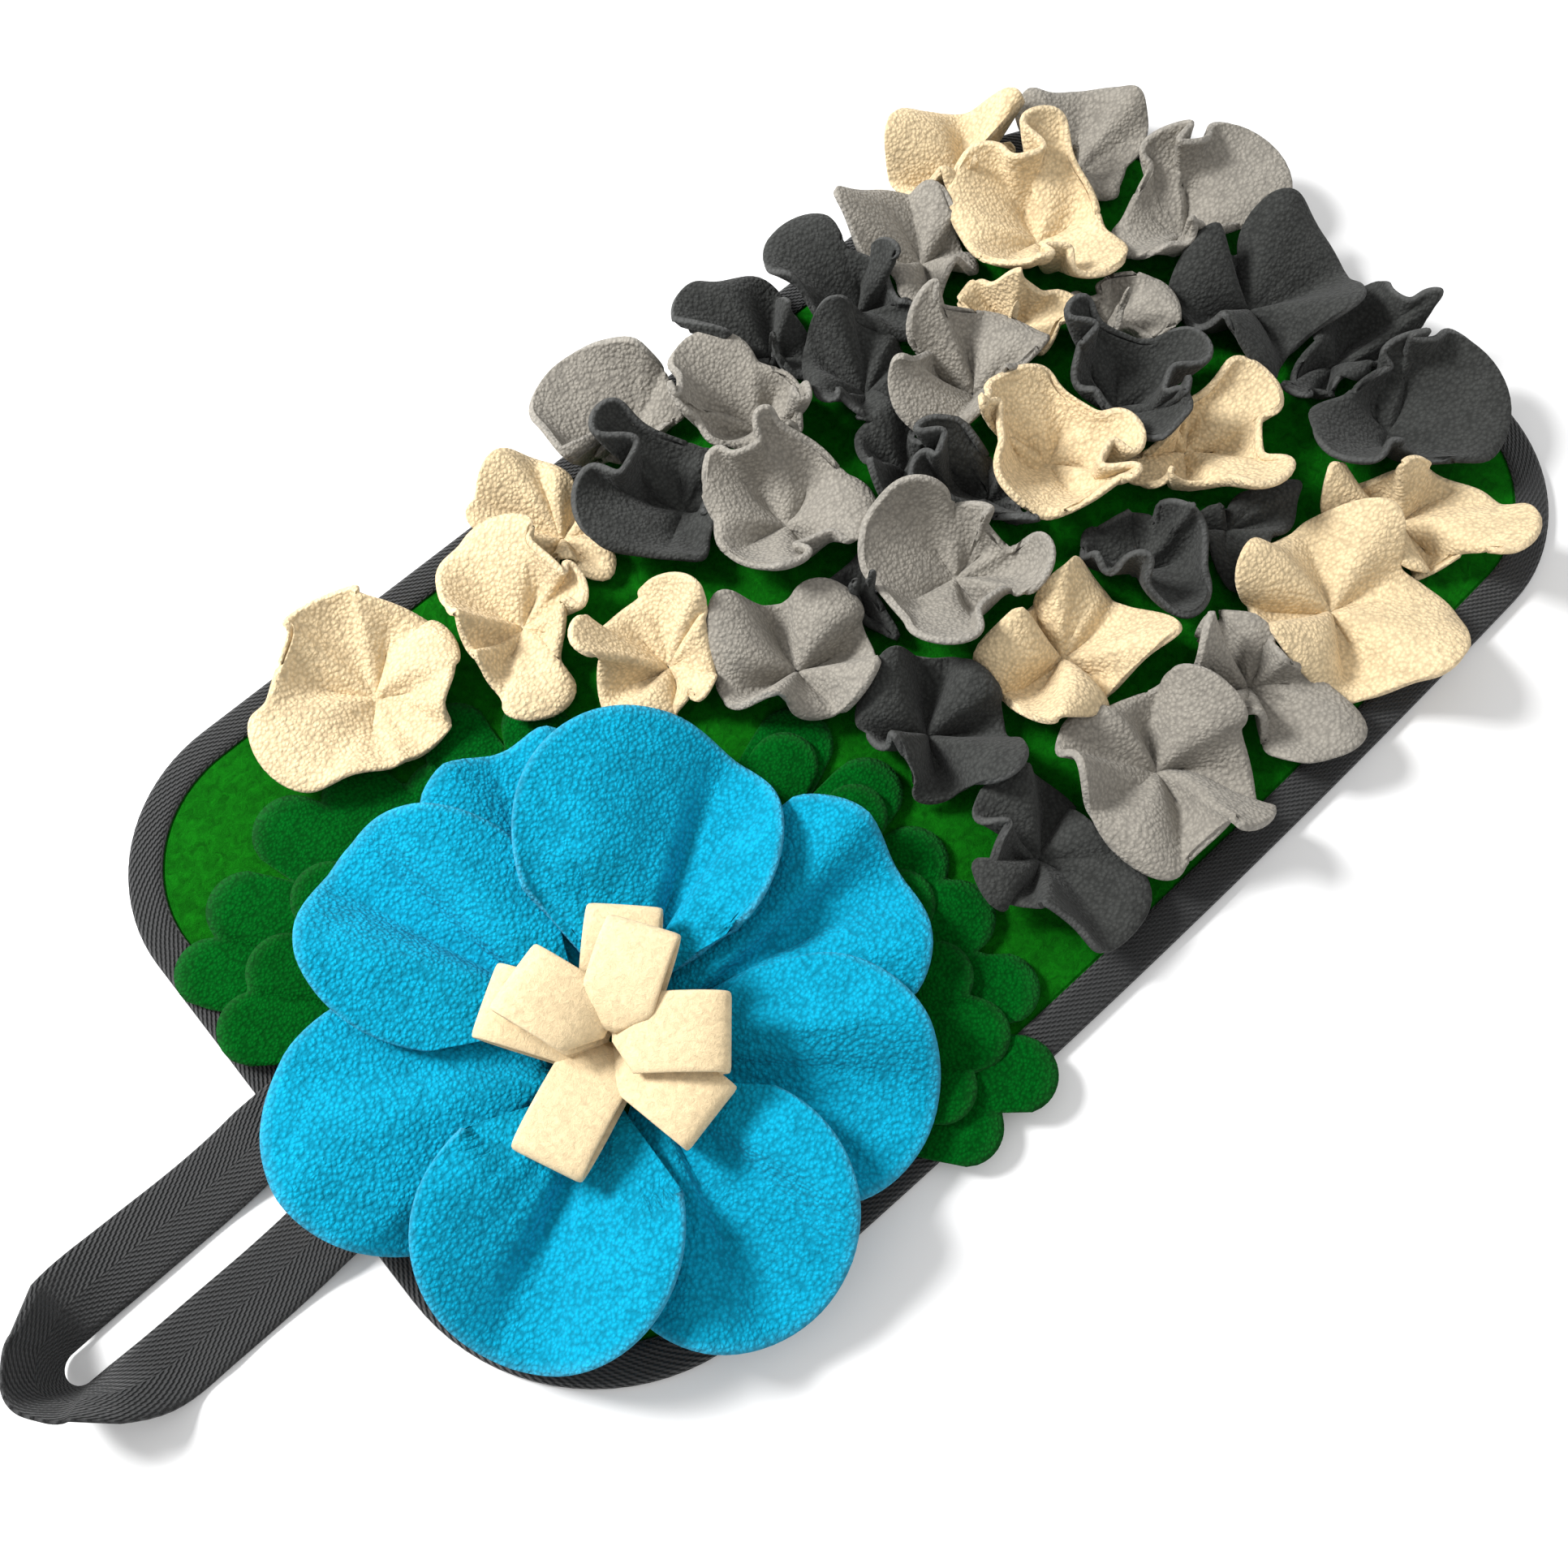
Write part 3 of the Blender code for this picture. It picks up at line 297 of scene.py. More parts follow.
# base, middles, rims: the height of its pinched end, then half way out and at the rim at seven places
# from the petal's left edge to its right, seen from its base
PETALS = rows_of(
    Petal,
    (40, 99, 0.70, 15.5, (14, 23, 26, 20, 8, 19, 17), (26, 34, 32, 25, 15, 26, 31)),
    (-9, 102, 0.66, 6.6, (12, 20, 19, 7, 15, 17, 12), (18, 28, 28, 14, 20, 23, 17)),
    (-52, 90, 0.70, 9.5, (24, 26, 18, 7, 9, 17, 14), (36, 37, 27, 13, 13, 23, 20)),
    (-97, 90, 0.70, 12.0, (22, 23, 14, 7, 15, 20, 17), (34, 33, 21, 11, 20, 26, 24)),
    (-148, 87, 0.76, 12.4, (19, 22, 17, 7, 18, 22, 17), (30, 31, 24, 12, 22, 28, 26)),
    (157, 98, 0.68, 6.6, (8, 8, 21, 19, 15, 18, 14), (10, 12, 26, 25, 21, 26, 22)),
    (107, 100, 0.60, 12.5, (19, 22, 23, 7, 18, 20, 15), (30, 33, 29, 13, 24, 27, 21)),
    (72, 105, 0.58, 6.6, (9, 14, 15, 7, 15, 14, 10), (16, 22, 23, 13, 22, 21, 16)),
)
# The visible folds stand higher over the valleys than the solids' do
PETAL_LOW = 7.0
PETAL_MIDDLE_MORE = 1.18
PETAL_RIM_MORE = 1.08
# A petal's main crease: where it lies across the petal, with a shoulder on each side of it
PETAL_CREASES = (0.33, 0.0, 0.02, 0.0, 0.02, -0.5, 0.0, 0.03)
SHOULDER_HEIGHT = 4.6
SHOULDER_APART = 0.17
SHOULDER_WIDTH = 0.10
SHOULDER_SIZE = 6.0  # how a shoulder rises on the way out, and how fast it fades again
SHOULDER_FADE = 1.6
PINCH_MOST = 0.5  # of the room that a petal has, for its pinched end
PETAL_RIM_ROUNDING = 14.0  # the corners between the walls at the rim, and inside it
PETAL_ROUNDING = 20.0
PETAL_RINGS = (0.09, 0.15, 0.22, 0.30, 0.38, 0.46, 0.54, 0.62, 0.70, 0.78, 0.85, 0.91, 0.955, 0.985, 1.0)
PETAL_EDGE = 0.38  # the cloth's thickness at a petal's edge as a share, and next to it
PETAL_NEXT = 0.80
# Which petal lies over which, where they cross round the flower, and how high
Crossing = namedtuple("Crossing", "over under azimuth height")
CROSSINGS = rows_of(
    Crossing,
    (0, 7, 66, 9.6), (0, 1, 8, 9.6), (0, 6, 78, 13.6),
    (2, 1, -28, 9.6), (3, 2, -74, 9.8), (4, 3, -120, 10.4),
    (4, 5, 184, 9.6), (6, 5, 134, 9.6), (6, 7, 84, 9.6),
    (0, 2, -26, 13.6), (4, 6, 152, 13.8),
)
CROSSING_OUT = 0.12  # the slope between two petals, outwards
CROSSING_SIDE = 0.22  # and across, up towards the petal that lies under
CROSSING_HIDDEN = 13.0  # how far an edge runs on under the petal above it

# The flower's middle: strips bent into loops, four below and three above
LOOP_WIDTH = 24.0
LOOP_SPLAY = 1.5  # half a strip's width near the middle, as a share of its distance from there
LOOP_THICKNESS = 2.0
LOOP_CROWN = 0.8
LOOP_THINNING = 0.6  # how much thinner a strip is at its two edges, and how close to them
LOOP_THINNING_POWER = 24
LoopPoint = namedtuple("LoopPoint", "out up")
LOOP_PATH = rows_of(
    LoopPoint,
    (0.10, 0.95), (0.46, 0.95), (0.72, 1.3), (0.90, 2.9), (0.99, 5.6),
    (0.95, 8.8), (0.80, 11.0), (0.58, 11.8), (0.34, 11.0), (0.04, 7.6),
)
CentreLoop = namedtuple("CentreLoop", "azimuth reach rise twist")
CENTRE_LOOPS = rows_of(
    CentreLoop,
    (44, 41, 0.0, 0.0), (122, 41, 0.4, 0.0), (203, 42, 0.0, 0.0), (-80, 40, 0.5, 0.0),
    (108, 34, 10.4, 10.0), (30, 34, 11.8, -8.0), (-42, 37, 9.4, 8.0),
)
LOOP_STEPS = 46
LOOP_SIDES = (-1.0, -0.96, -0.85, -0.65, -0.4, -0.13, 0.13, 0.4, 0.65, 0.85, 0.96, 1.0)

# The leaves: rounded tongues that reach out from under the flower
LEAF = 1.8  # the cloth's thickness
Tongue = namedtuple("Tongue", "x y radius")
LEAF_CORE = 52.0
LEAF_STEP = 0.75  # degrees
LEAF_LEAST = 4.0  # a leaf's least width between its tongues
LOWER_TONGUES = rows_of(
    Tongue,
    (-236, 62, 12.0), (-215, 72, 13.0), (-188, 84, 13.5), (-163, 78, 13.0),
    (-125, 74, 12.5), (-142, 60, 12.0), (-102, 58, 12.0), (-77, 33, 12.5),
    (-40, -8, 14.0), (-34, -38, 13.0), (-39, -66, 13.0), (-41, -90, 13.0),
    (-46, -117, 12.0), (-62, -140, 12.5), (-86, -140, 12.5),
)
UPPER_LEFT_TONGUES = rows_of(
    Tongue,
    (-235, 36, 12.5), (-217, 45, 12.5), (-192, 56, 12.5),
)
UPPER_RIGHT_TONGUES = rows_of(
    Tongue,
    (-48, -12, 12.0), (-43, -42, 11.5), (-52, -74, 12.0),
    (-60, -100, 12.0), (-64, -121, 12.0), (-84, -126, 12.0),
)
TONGUES_OVER_RUFFLES = rows_of(
    Tongue,
    (-42, -9, 14.0), (-38, -38, 13.0), (-42, -72, 13.0), (-46, -100, 13.0),
)
UPPER_LEAF_START = 44.0
LEAF_BOTTOM = FELT_TOP + GAP
Leaf = namedtuple("Leaf", "name tongues first last start bottom")
UPPER_BOTTOM = LEAF_BOTTOM + LEAF + 3 * GAP
LEAVES = rows_of(
    Leaf,
    ("leaf_lower", LOWER_TONGUES, 0.0, 360.0, LEAF_CORE / 2, LEAF_BOTTOM),
    ("leaf_upper_left", UPPER_LEFT_TONGUES, 102.0, 141.0, UPPER_LEAF_START, UPPER_BOTTOM),
    ("leaf_upper_right", UPPER_RIGHT_TONGUES, -57.0, 27.0, UPPER_LEAF_START, UPPER_BOTTOM),
)
LEAF_RINGS = (0.0, 0.2, 0.4, 0.6, 0.75, 0.87, 0.94, 0.975, 1.0)
LEAF_EDGE = {0.975: 0.8, 1.0: 0.35}  # the cloth's thickness at the outer rings, as a share
LEAF_CROWN = 1.3
LEAF_LAYER = 1.7  # how far every other tongue lies above its neighbours
EDGE_RISE = 1.2  # what a leaf or a ruffle climbs to cross the binding
EDGE_RISE_WIDTH = 14.0

# The herringbone's stripes, ribs and yarns
STRIPE_WIDTH = 12.5  # the tape has a spine along its middle
RIB_PITCH = 2.7  # along the tape
RIB_SLANT = -1.6  # how far a rib runs along the tape for each step across it
YARN_PITCH = 0.9
TAPE_RELIEF = 0.45  # how far its ribs stand up
TAPE_SHADE = 0.35  # the part of the tape's colour that is left between the ribs, as painted shade there
TAPE_MATERIAL = "herringbone_tape"

# How each cloth looks: its colour's name and its nap, the part of the colour that is left in the hollows
# as painted shade mixed with random mottle, the width and the depth of its tufts as shares of the fleece's,
# its sheen and gloss, and how much its cut edge is painted paler, as a highlight
Finish = namedtuple("Finish", "material colour nap shade width depth sheen gloss edge")
FINISHES = {
    "petal": Finish("petal_fleece", "petal", "fleece", 0.52, 1.0, 1.2, 0.02, 0.04, 0.22),
    "cream": Finish("cream_fleece", "cream", "fleece", 0.62, 1.0, 1.0, 0.08, 0.12, 0.22),
    "light": Finish("light_grey_fleece", "light", "fleece", 0.62, 1.0, 1.0, 0.08, 0.12, 0.22),
    "dark": Finish("dark_grey_fleece", "dark", "fleece", 0.50, 1.0, 1.0, 0.06, 0.12, 0.22),
    "strip": Finish("cream_strip", "cream", "felt", 0.70, 1.6, 0.6, 0.08, 0.12, 0.22),
    "leaf": Finish("leaf_pile", "leaf", "fleece", 0.45, 0.80, 0.7, 0.0, 0.04, 0.05),
    "felt": Finish("base_felt", "felt", "felt", 0.42, 2.75, 1.0, 0.0, 0.04, 0.0),
}
EDGE_HIGHLIGHT = 0.25  # how much paler a cut edge is painted, as a highlight
FLEECE_TUFTS = 620.0  # a metre
FELT_TUFTS = 240.0

# The floor and the lights, in metres and watts
FLOOR_HALF = 6.0  # half its side
FLOOR_HEIGHT = -0.0006
FLOOR_SHADE = 0.88
WORLD_STRENGTH = 0.72
Lamp = namedtuple("Lamp", "name place size power")
LAMPS = rows_of(
    Lamp,
    ("key_light", (-0.50, 0.85, 0.85), 0.35, 27.0),
    ("fill_light", (0.9, -0.6, 1.0), 1.4, 2.0),
)

# The camera, where it stands and what it looks at
CAMERA_PLACE = (-148.5, -139.3, 467.0)
CAMERA_TURN = -38.23
CAMERA_TILT = 71.3
CAMERA_ROLL = -3.87
CAMERA_LENS = 32.61
CAMERA_SENSOR = 36.0


# Plain helpers


def heading(degrees):
    angle = np.radians(degrees)
    return np.stack([np.cos(angle), np.sin(angle)], axis=-1)


def left_of(way):
    return np.array([-way[1], way[0]])


def new_object(name, data):
    made = bpy.data.objects.new(name, data)
    bpy.context.scene.collection.objects.link(made)
    return made


def new_mesh_object(name, bm, material):
    mesh = bpy.data.meshes.new(name)
    bm.to_mesh(mesh)
    bm.free()
    mesh.materials.append(material)
    return new_object(name, mesh)


def new_piece(name, bm, material, node):
    """Adds a finished mesh as one piece with its cloth's material, and hides the CAD node that it stands
    for.
    """
    bmesh.ops.recalc_face_normals(bm, faces=bm.faces)
    piece = new_mesh_object(name, bm, material)
    for face in piece.data.polygons:
        face.use_smooth = True
    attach(piece, "root")
    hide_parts(node)
    return piece


def sheet_of(points, closed, uv=None, middle=None, thickness=1.0):
    """An open surface through rows of points, with a UV map in metres and its thickness as shares."""
    bm = bmesh.new()
    share = bm.verts.layers.deform.verify()
    edge = bm.verts.layers.float.new("edge")
    layer = bm.loops.layers.uv.new("cloth")
    count = len(points[0])
    rows = []
    for row, shares in zip(points, np.broadcast_to(thickness, (len(points), count))):
        rows.append([bm.verts.new(Vector(point) * MM) for point in row])
        for vertex, value in zip(rows[-1], shares):
            vertex[share][0] = float(value)
            # the mask for the painted highlight along the cut edges, where the cloth thins
            vertex[edge] = 1.0 - vertex[share][0]
    if middle is not None:
        centre = bm.verts.new(Vector(middle) * MM)
        centre[share][0] = 1.0
        for column in range(count):
            bm.faces.new((centre, rows[0][column], rows[0][(column + 1) % count]))
    for row in range(len(rows) - 1):
        for column in range(count if closed else count - 1):
            after = (column + 1) % count
            places = ((row, column), (row + 1, column), (row + 1, after), (row, after))
            face = bm.faces.new([rows[r][c] for r, c in places])
            if uv is not None:
                for loop, (r, c) in zip(face.loops, places):
                    loop[layer].uv = (uv[r][c][0] * MM, uv[r][c][1] * MM)
    return bm


def thicken(piece, size):
    """Gives an open surface the thickness that the user set, thinner where its vertex group says so."""
    piece.vertex_groups.new(name="thickness")
    solidify = piece.modifiers.new("Cloth", "SOLIDIFY")
    solidify.thickness = getattr(bpy.context.scene.snuffle_mat_sizes, size)
    solidify.offset = 0.0
    solidify.use_even_offset = False
    solidify.use_rim = True
    solidify.vertex_group = "thickness"


def along_line(points):
    """How far along a line each of its points lies."""
    steps = np.linalg.norm(np.diff(np.array(points), axis=0), axis=1)
    return np.concatenate([[0.0], np.cumsum(steps)])


def corner_point(corner, turn, inset):
    """A point on one of the mat's round corners, so many degrees from the corner's middle."""
    centre = np.array([
        corner.side_x * (MAT_HALF_LENGTH - corner.radius),
        corner.side_y * (MAT_HALF_WIDTH - corner.radius),
    ])
    middle = math.degrees(math.atan2(corner.side_y, corner.side_x))
    return centre + (corner.radius - inset) * heading(middle + turn)


def mat_outline(inset):
    """The mat's edge, anticlockwise from above, drawn in by inset."""
    points = []
    for corner, after in zip(CORNERS, CORNERS[1:] + CORNERS[:1]):
        for step in range(CORNER_STEPS + 1):
            points.append(corner_point(corner, 90.0 * step / CORNER_STEPS - 45.0, inset))
        start = points[-1]
        end = corner_point(after, -45.0, inset)
        for step in range(1, SIDE_STEPS):
            points.append(start + (end - start) * step / SIDE_STEPS)
    points = np.array(points)
    near = points[:, 1] < 0
    bow = 1.0 + NEAR_SIDE_BOW / MAT_HALF_WIDTH * (1.0 - (points[:, 0] / MAT_HALF_LENGTH) ** 2)
    points[near, 1] *= bow[near]
    return points


def edge_lift(x, y):
    """What cloth on the felt climbs where it crosses the binding."""
    flat_x = MAT_HALF_LENGTH - BINDING_WIDTH - np.abs(x)
    bow = np.where(y < 0, NEAR_SIDE_BOW * (1.0 - (x / MAT_HALF_LENGTH) ** 2), 0.0)
    flat_y = MAT_HALF_WIDTH - BINDING_WIDTH - np.abs(y) + bow
    share = np.clip(1.0 - np.minimum(flat_x, flat_y) / EDGE_RISE_WIDTH, 0.0, 1.0)
    return EDGE_RISE * share * share * (3.0 - 2.0 * share)


def closed_spline(rows, places):
    """Values on the smooth closed line through rows, whose first value turns once round."""
    rows = np.array(rows, float)
    count = len(rows)
    index = np.floor(places).astype(int)
    t = (places - index)[:, None]
    knots = []
    for shift in (-1, 0, 1, 2):
        lap, row = np.divmod(index + shift, count)
        value = rows[row].copy()
        value[:, 0] += 360.0 * lap
        knots.append(value)
    before, start, end, after = knots
    return (
        start
        + 0.5 * t * (end - before)
        + t * t * (before - 2.5 * start + 2.0 * end - 0.5 * after)
        + t**3 * (1.5 * (start - end) + 0.5 * (after - before))
    )


def open_spline(knots, values, places):
    """Values on the smooth line through knots, with level ends."""
    knots = np.array(knots, float)
    values = np.array(values, float)
    slopes = np.gradient(values, knots)
    index = np.clip(np.searchsorted(knots, places, side="right") - 1, 0, len(knots) - 2)
    width = knots[index + 1] - knots[index]
    t = np.clip((places - knots[index]) / width, 0.0, 1.0)
    return (
        (2 * t**3 - 3 * t**2 + 1) * values[index]
        + (t**3 - 2 * t**2 + t) * width * slopes[index]
        + (3 * t**2 - 2 * t**3) * values[index + 1]
        + (t**3 - t**2) * width * slopes[index + 1]
    )


def risen(share, middle, rim):
    """The height at a share of the way out, on a smooth line from 0 through the middle's to the rim's."""
    return share * (rim * (2.0 * share - 1.0) + 4.0 * middle * (1.0 - share))


# The walls that keep neighbours apart

Site = namedtuple("Site", "x y room foot rank")


def ruffle_site(ruffle):
    return Site(ruffle.x, ruffle.y, ruffle.room, RUFFLE_FOOT, ruffle.rank)


def petal_site(petal):
    x, y = FLOWER + (PETAL_APEX + petal.reach * PETAL_MIDDLE) * heading(petal.azimuth)
    return Site(x, y, PETAL_ROOM, PETAL_FOOT, PETAL_RANK)


def share_above(site, other):
    """From -1, where a piece lies wholly under the other, to 1, where it lies wholly over it."""
    return math.tanh((site.rank - other.rank) / OVERLAP_RANKS)


def wall_between(site, other):
    """The leaning wall between two pieces, as (normal, offset), with site on its inner side."""
    way = np.array([other.x - site.x, other.y - site.y], float)
    length = float(np.hypot(*way))
    way /= length
    above = share_above(site, other)
    middle = (length**2 + site.room**2 - other.room**2) / (2.0 * length)
    foot_side = site.foot if above > 0 else length - other.foot
    share = middle + (foot_side - middle) * abs(above) * FOOT_PULL
    lean = math.radians(LEAN * above)
    normal = np.array([way[0] * math.cos(lean), way[1] * math.cos(lean), -math.sin(lean)])
    foot = np.array([site.x + way[0] * share, site.y + way[1] * share, SOLE])
    return normal, float(normal @ foot)


def petal_beside(petal, ruffle):
    site = petal_site(petal)
    return math.hypot(site.x - ruffle.x, site.y - ruffle.y) < RUFFLE_RADIUS + PETAL_ROOM + BESIDE


def pressed(wall, site, other):
    """The wall between two ruffles, moved by what the upper one presses over the lower one."""
    normal, offset = wall
    push = PRESS_EVEN + PRESS_OVER * share_above(site, other)
    return normal, offset + push * float(np.hypot(normal[0], normal[1]))


def walls_round(index):
    """Every leaning wall round one ruffle: its neighbours, and the petals and leaves beside it."""
    me = RUFFLES[index]
    site = ruffle_site(me)
    walls = []
    for other_index, other in enumerate(RUFFLES):
        apart = math.hypot(other.x - me.x, other.y - me.y)
        if other_index != index and apart < 2.0 * RUFFLE_RADIUS:
            there = ruffle_site(other)
            walls.append(pressed(wall_between(site, there), site, there))
    for petal in PETALS:
        if petal_beside(petal, me):
            walls.append(wall_between(site, petal_site(petal)))
    for tongue in TONGUES_OVER_RUFFLES:
        if math.hypot(tongue.x - me.x, tongue.y - me.y) < RUFFLE_RADIUS + tongue.radius:
            over = Site(tongue.x, tongue.y, tongue.radius, tongue.radius, me.rank + 1)
            walls.append(wall_between(site, over))
    return walls


def free_reach(walls, foot, turns, heights, most, rounding=REACH_ROUNDING):
    """How far a piece can reach from foot, a gap away from every wall, with the corners rounded off."""
    ways = heading(turns)
    total = np.maximum(most, LEAST_REACH) ** -rounding
    for normal, offset in walls:
        across = ways @ normal[:2]
        left = offset - FLEECE / 2 - GAP / 2 - normal[:2] @ foot - normal[2] * heights
        reach = np.maximum(left / np.maximum(across, LEAST_ACROSS), LEAST_REACH)
        total = total + np.where(across > LEAST_ACROSS, reach**-rounding, 0.0)
    return total ** (-1.0 / rounding)


def blurred(values, degrees):
    """Values round a closed ring, smoothed over this many degrees."""
    count = len(values)
    apart = np.minimum(np.arange(count), count - np.arange(count)) * 360.0 / count
    weights = np.exp(-((apart / degrees) ** 2))
    weights /= weights.sum()
    return np.real(np.fft.ifft(np.fft.fft(values) * np.fft.fft(weights)))


# Ruffles


def ruffle_columns(index):
    """For each column round a ruffle: its direction, its share of the reach there and its two heights."""
    ruffle = RUFFLES[index]
    walls = walls_round(index)
    foot = np.array([ruffle.x, ruffle.y], float)
    rows = [(fold.turn + ruffle.turn, fold.reach, fold.middle, fold.height) for fold in FOLDS[ruffle.folds]]
    count = COLUMNS_PER_TURN
    columns = closed_spline(rows, np.arange(count) * len(rows) / count)
    columns[:, 2:] *= ruffle.rise
    worth = []
    for share in TUCK_STEPS:
        tried = columns[:, 3] * share
        most = np.full(count, RUFFLE_RADIUS)
        worth.append(free_reach(walls, foot, columns[:, 0], SOLE + tried, most) + TUCK_PRICE * tried)
    tucked = np.array(TUCK_STEPS)[np.argmax(worth, axis=0)]
    columns[:, 2:] *= blurred(tucked, TUCK_BLUR)[:, None]
    return columns


def wave_round(wave, index, even):
    return wave.size * np.sin(np.radians(wave.count * even + wave.turn * index))


def flutes_round(index, even):
    """For each column of a ruffle, the phase and the strength of its flutes."""
    flutes = FLUTES[RUFFLES[index].folds]
    shift = sum(wave_round(wave, index, even) for wave in FLUTE_SHIFTS)
    phase = np.radians(flutes.count * even + FLUTE_TURN * index) + shift
    return phase, FLUTE_STRENGTH + wave_round(FLUTE_STRENGTH_WAVE, index, even)


def ruffle_surface(index):
    """The rows of points of a ruffle, from its sewn middle to its rim."""
    ruffle = RUFFLES[index]
    flutes = FLUTES[ruffle.folds]
    walls = walls_round(index)
    foot = np.array([ruffle.x, ruffle.y], float)
    columns = ruffle_columns(index)
    count = len(columns)
    turn, reach_share, half_way, height = columns.T
    half_way = half_way * RISE_MORE * BOWL_OUT / flutes.bowl
    height = height * RISE_MORE
    reach_share = reach_share + (1.0 - reach_share) * REACH_FILL
    mean_share = reach_share.mean()
    even = turn[0] + 360.0 * np.arange(count) / count
    phase, strength = flutes_round(index, even)
    crease = 2.0 * np.abs(np.cos(phase / 2.0)) - CREASE_MEAN
    most = np.minimum(
        SLACK * np.sqrt(DRAPED_RADIUS**2 - height**2), REACH_START + REACH_PER_ROOM * ruffle.room
    )
    smaller = min(ruffle.room / FLUTED_ROOM, 1.0)
    rows = []
    for ring in RUFFLE_RINGS:
        s = ring.share
        flute = smaller * strength * s
        turns = even + (turn - even) * ring.folding
        folded = mean_share + (reach_share - mean_share) * ring.folding
        rim = folded * free_reach(walls, foot, turns, SOLE + height, most)
        rim = rim * (1.0 - flutes.draw * flute * (0.5 - 0.5 * np.cos(phase)))
        turns = turns + np.degrees(flutes.swing * flute / np.maximum(rim, LEAST_BEND)) * np.sin(2.0 * phase)
        lift = risen(s, half_way, height)
        lift = lift + flutes.rise * flute * np.cos(phase + FLUTE_LEAD)
        lift = lift + flutes.crease * smaller * strength * CREASE_SIZE * s * (1.0 - s) ** 2 * crease
        curl = RIM_CURL * (max(s - CURL_START, 0.0) / (1.0 - CURL_START)) ** 2
        lift = np.maximum(lift - curl, LEAST_LIFT + LEAST_LIFT_SLOPE * s)
        free = free_reach(walls, foot, turns, SOLE + lift, most)
        out = np.minimum(rim * (1.0 - (1.0 - s) ** flutes.bowl), free)
        x, y = (foot + out[:, None] * heading(turns)).T
        rows.append(np.stack([x, y, SOLE + lift + edge_lift(x, y)], axis=1))
    return rows


def make_ruffle(index, material):
    ruffle = RUFFLES[index]
    thickness = [[ring.thickness] for ring in RUFFLE_RINGS]
    bm = sheet_of(ruffle_surface(index), True, middle=(ruffle.x, ruffle.y, SOLE), thickness=thickness)
    name = f"ruffle_{index + 1:02d}_{ruffle.cloth}"
    piece = new_piece(f"fleece_{name}", bm, material, name)
    thicken(piece, "fleece")


# The flower


def crossing_side(crossing):
    """The direction across a crossing, towards the petal that lies under."""
    aside = left_of(heading(crossing.azimuth))
    return aside if aside @ heading(PETALS[crossing.under].azimuth) > 0 else -aside


def petal_slopes(number):
    """The sheets that a petal stays above or below, as (slope, height, whether above), its floor first."""
    petal = PETALS[number]
    slopes = [(PETAL_FLOOR_SLOPE * heading(petal.azimuth), PETAL_FLOOR, True)]
    for crossing in CROSSINGS:
        if number in (crossing.over, crossing.under):
            slope = CROSSING_OUT * heading(crossing.azimuth) + CROSSING_SIDE * crossing_side(crossing)
            slopes.append((slope, crossing.height, number == crossing.over))
    return slopes


def petal_side_walls(number):
    petal = PETALS[number]
    walls = []
    for crossing in CROSSINGS:
        if number == crossing.under:
            aside = crossing_side(crossing)
            limit = CROSSING_HIDDEN - float(aside @ FLOWER)
            walls.append((np.array([-aside[0], -aside[1], 0.0]), limit))
    for ruffle in RUFFLES:
        if petal_beside(petal, ruffle):
            walls.append(wall_between(petal_site(petal), ruffle_site(ruffle)))
    return walls


def half_cloth(slope):
    """Half the fleece and half the gap, measured upright from a sheet that climbs this steeply."""
    return (FLEECE / 2 + GAP / 2) * math.sqrt(1.0 + slope**2)


def kept_height(slopes, x, y, height):
    """The heights, moved above or below each sloping sheet that a petal must keep to."""
    apart = np.stack([x, y], axis=-1) - FLOWER
    out = np.hypot(apart[..., 0], apart[..., 1])
    floor_slope, floor_level, _ = slopes[0]
    floor = np.where(out < PETAL_SEAT, LEAF_BOTTOM + LEAF + GAP / 2, floor_level + apart @ floor_slope)
    height = np.maximum(height, floor + half_cloth(np.hypot(*floor_slope)))
    for slope, level, above in sorted(slopes[1:], key=lambda row: row[2], reverse=True):
        room = half_cloth(np.hypot(*slope))
        at = level + apart @ slope
        height = np.maximum(height, at + room) if above else np.minimum(height, at - room)
    cup = CUP_BOTTOM + CUP_SLOPE * out - half_cloth(CUP_SLOPE)
    return np.where(out < CUP_REACH, np.minimum(height, cup), height)


def petal_surface(number):
    petal = PETALS[number]
    slopes = petal_slopes(number)
    walls = petal_side_walls(number)
    base = FLOWER + PETAL_APEX * heading(petal.azimuth)
    knots = np.linspace(-1.0, 1.0, len(petal.rims))
    # The columns lie closer together towards the two sides, where the edge turns round.
    across = np.sin(np.linspace(-90.0, 90.0, PETAL_COLUMNS + 1) * math.pi / 180.0)
    turns = petal.azimuth - across * PETAL_SPREAD * petal.width
    reach = petal.reach * np.cos(np.radians(across * PETAL_SPREAD)) ** PETAL_ROUNDNESS
    middle = open_spline(knots, petal.middles, across)
    middle = PETAL_LOW + (middle - PETAL_LOW) * PETAL_MIDDLE_MORE - petal.base
    rim = open_spline(knots, petal.rims, across)
    rim = PETAL_LOW + (rim - PETAL_LOW) * PETAL_RIM_MORE - petal.base
    off = np.abs(across - PETAL_CREASES[number]) - SHOULDER_APART
    shoulder = SHOULDER_HEIGHT * np.exp(-((off / SHOULDER_WIDTH) ** 2))
    most = free_reach(walls, base, turns, petal.base + rim, reach, PETAL_RIM_ROUNDING)
    first = PETAL_RINGS[0]
    pinch = np.minimum(first * petal.reach, PINCH_MOST * most)
    rows = []
    for s in PETAL_RINGS:
        height = petal.base + risen(s, middle, rim)
        height = height + shoulder * SHOULDER_SIZE * s * (1.0 - s) ** SHOULDER_FADE
        out = pinch + (most - pinch) * (s - first) / (1.0 - first)
        out = free_reach(walls, base, turns, height, np.maximum(out, LEAST_REACH), PETAL_ROUNDING)
        x, y = (base + out[:, None] * heading(turns)).T
        rows.append(np.stack([x, y, kept_height(slopes, x, y, height)], axis=1))
    return rows


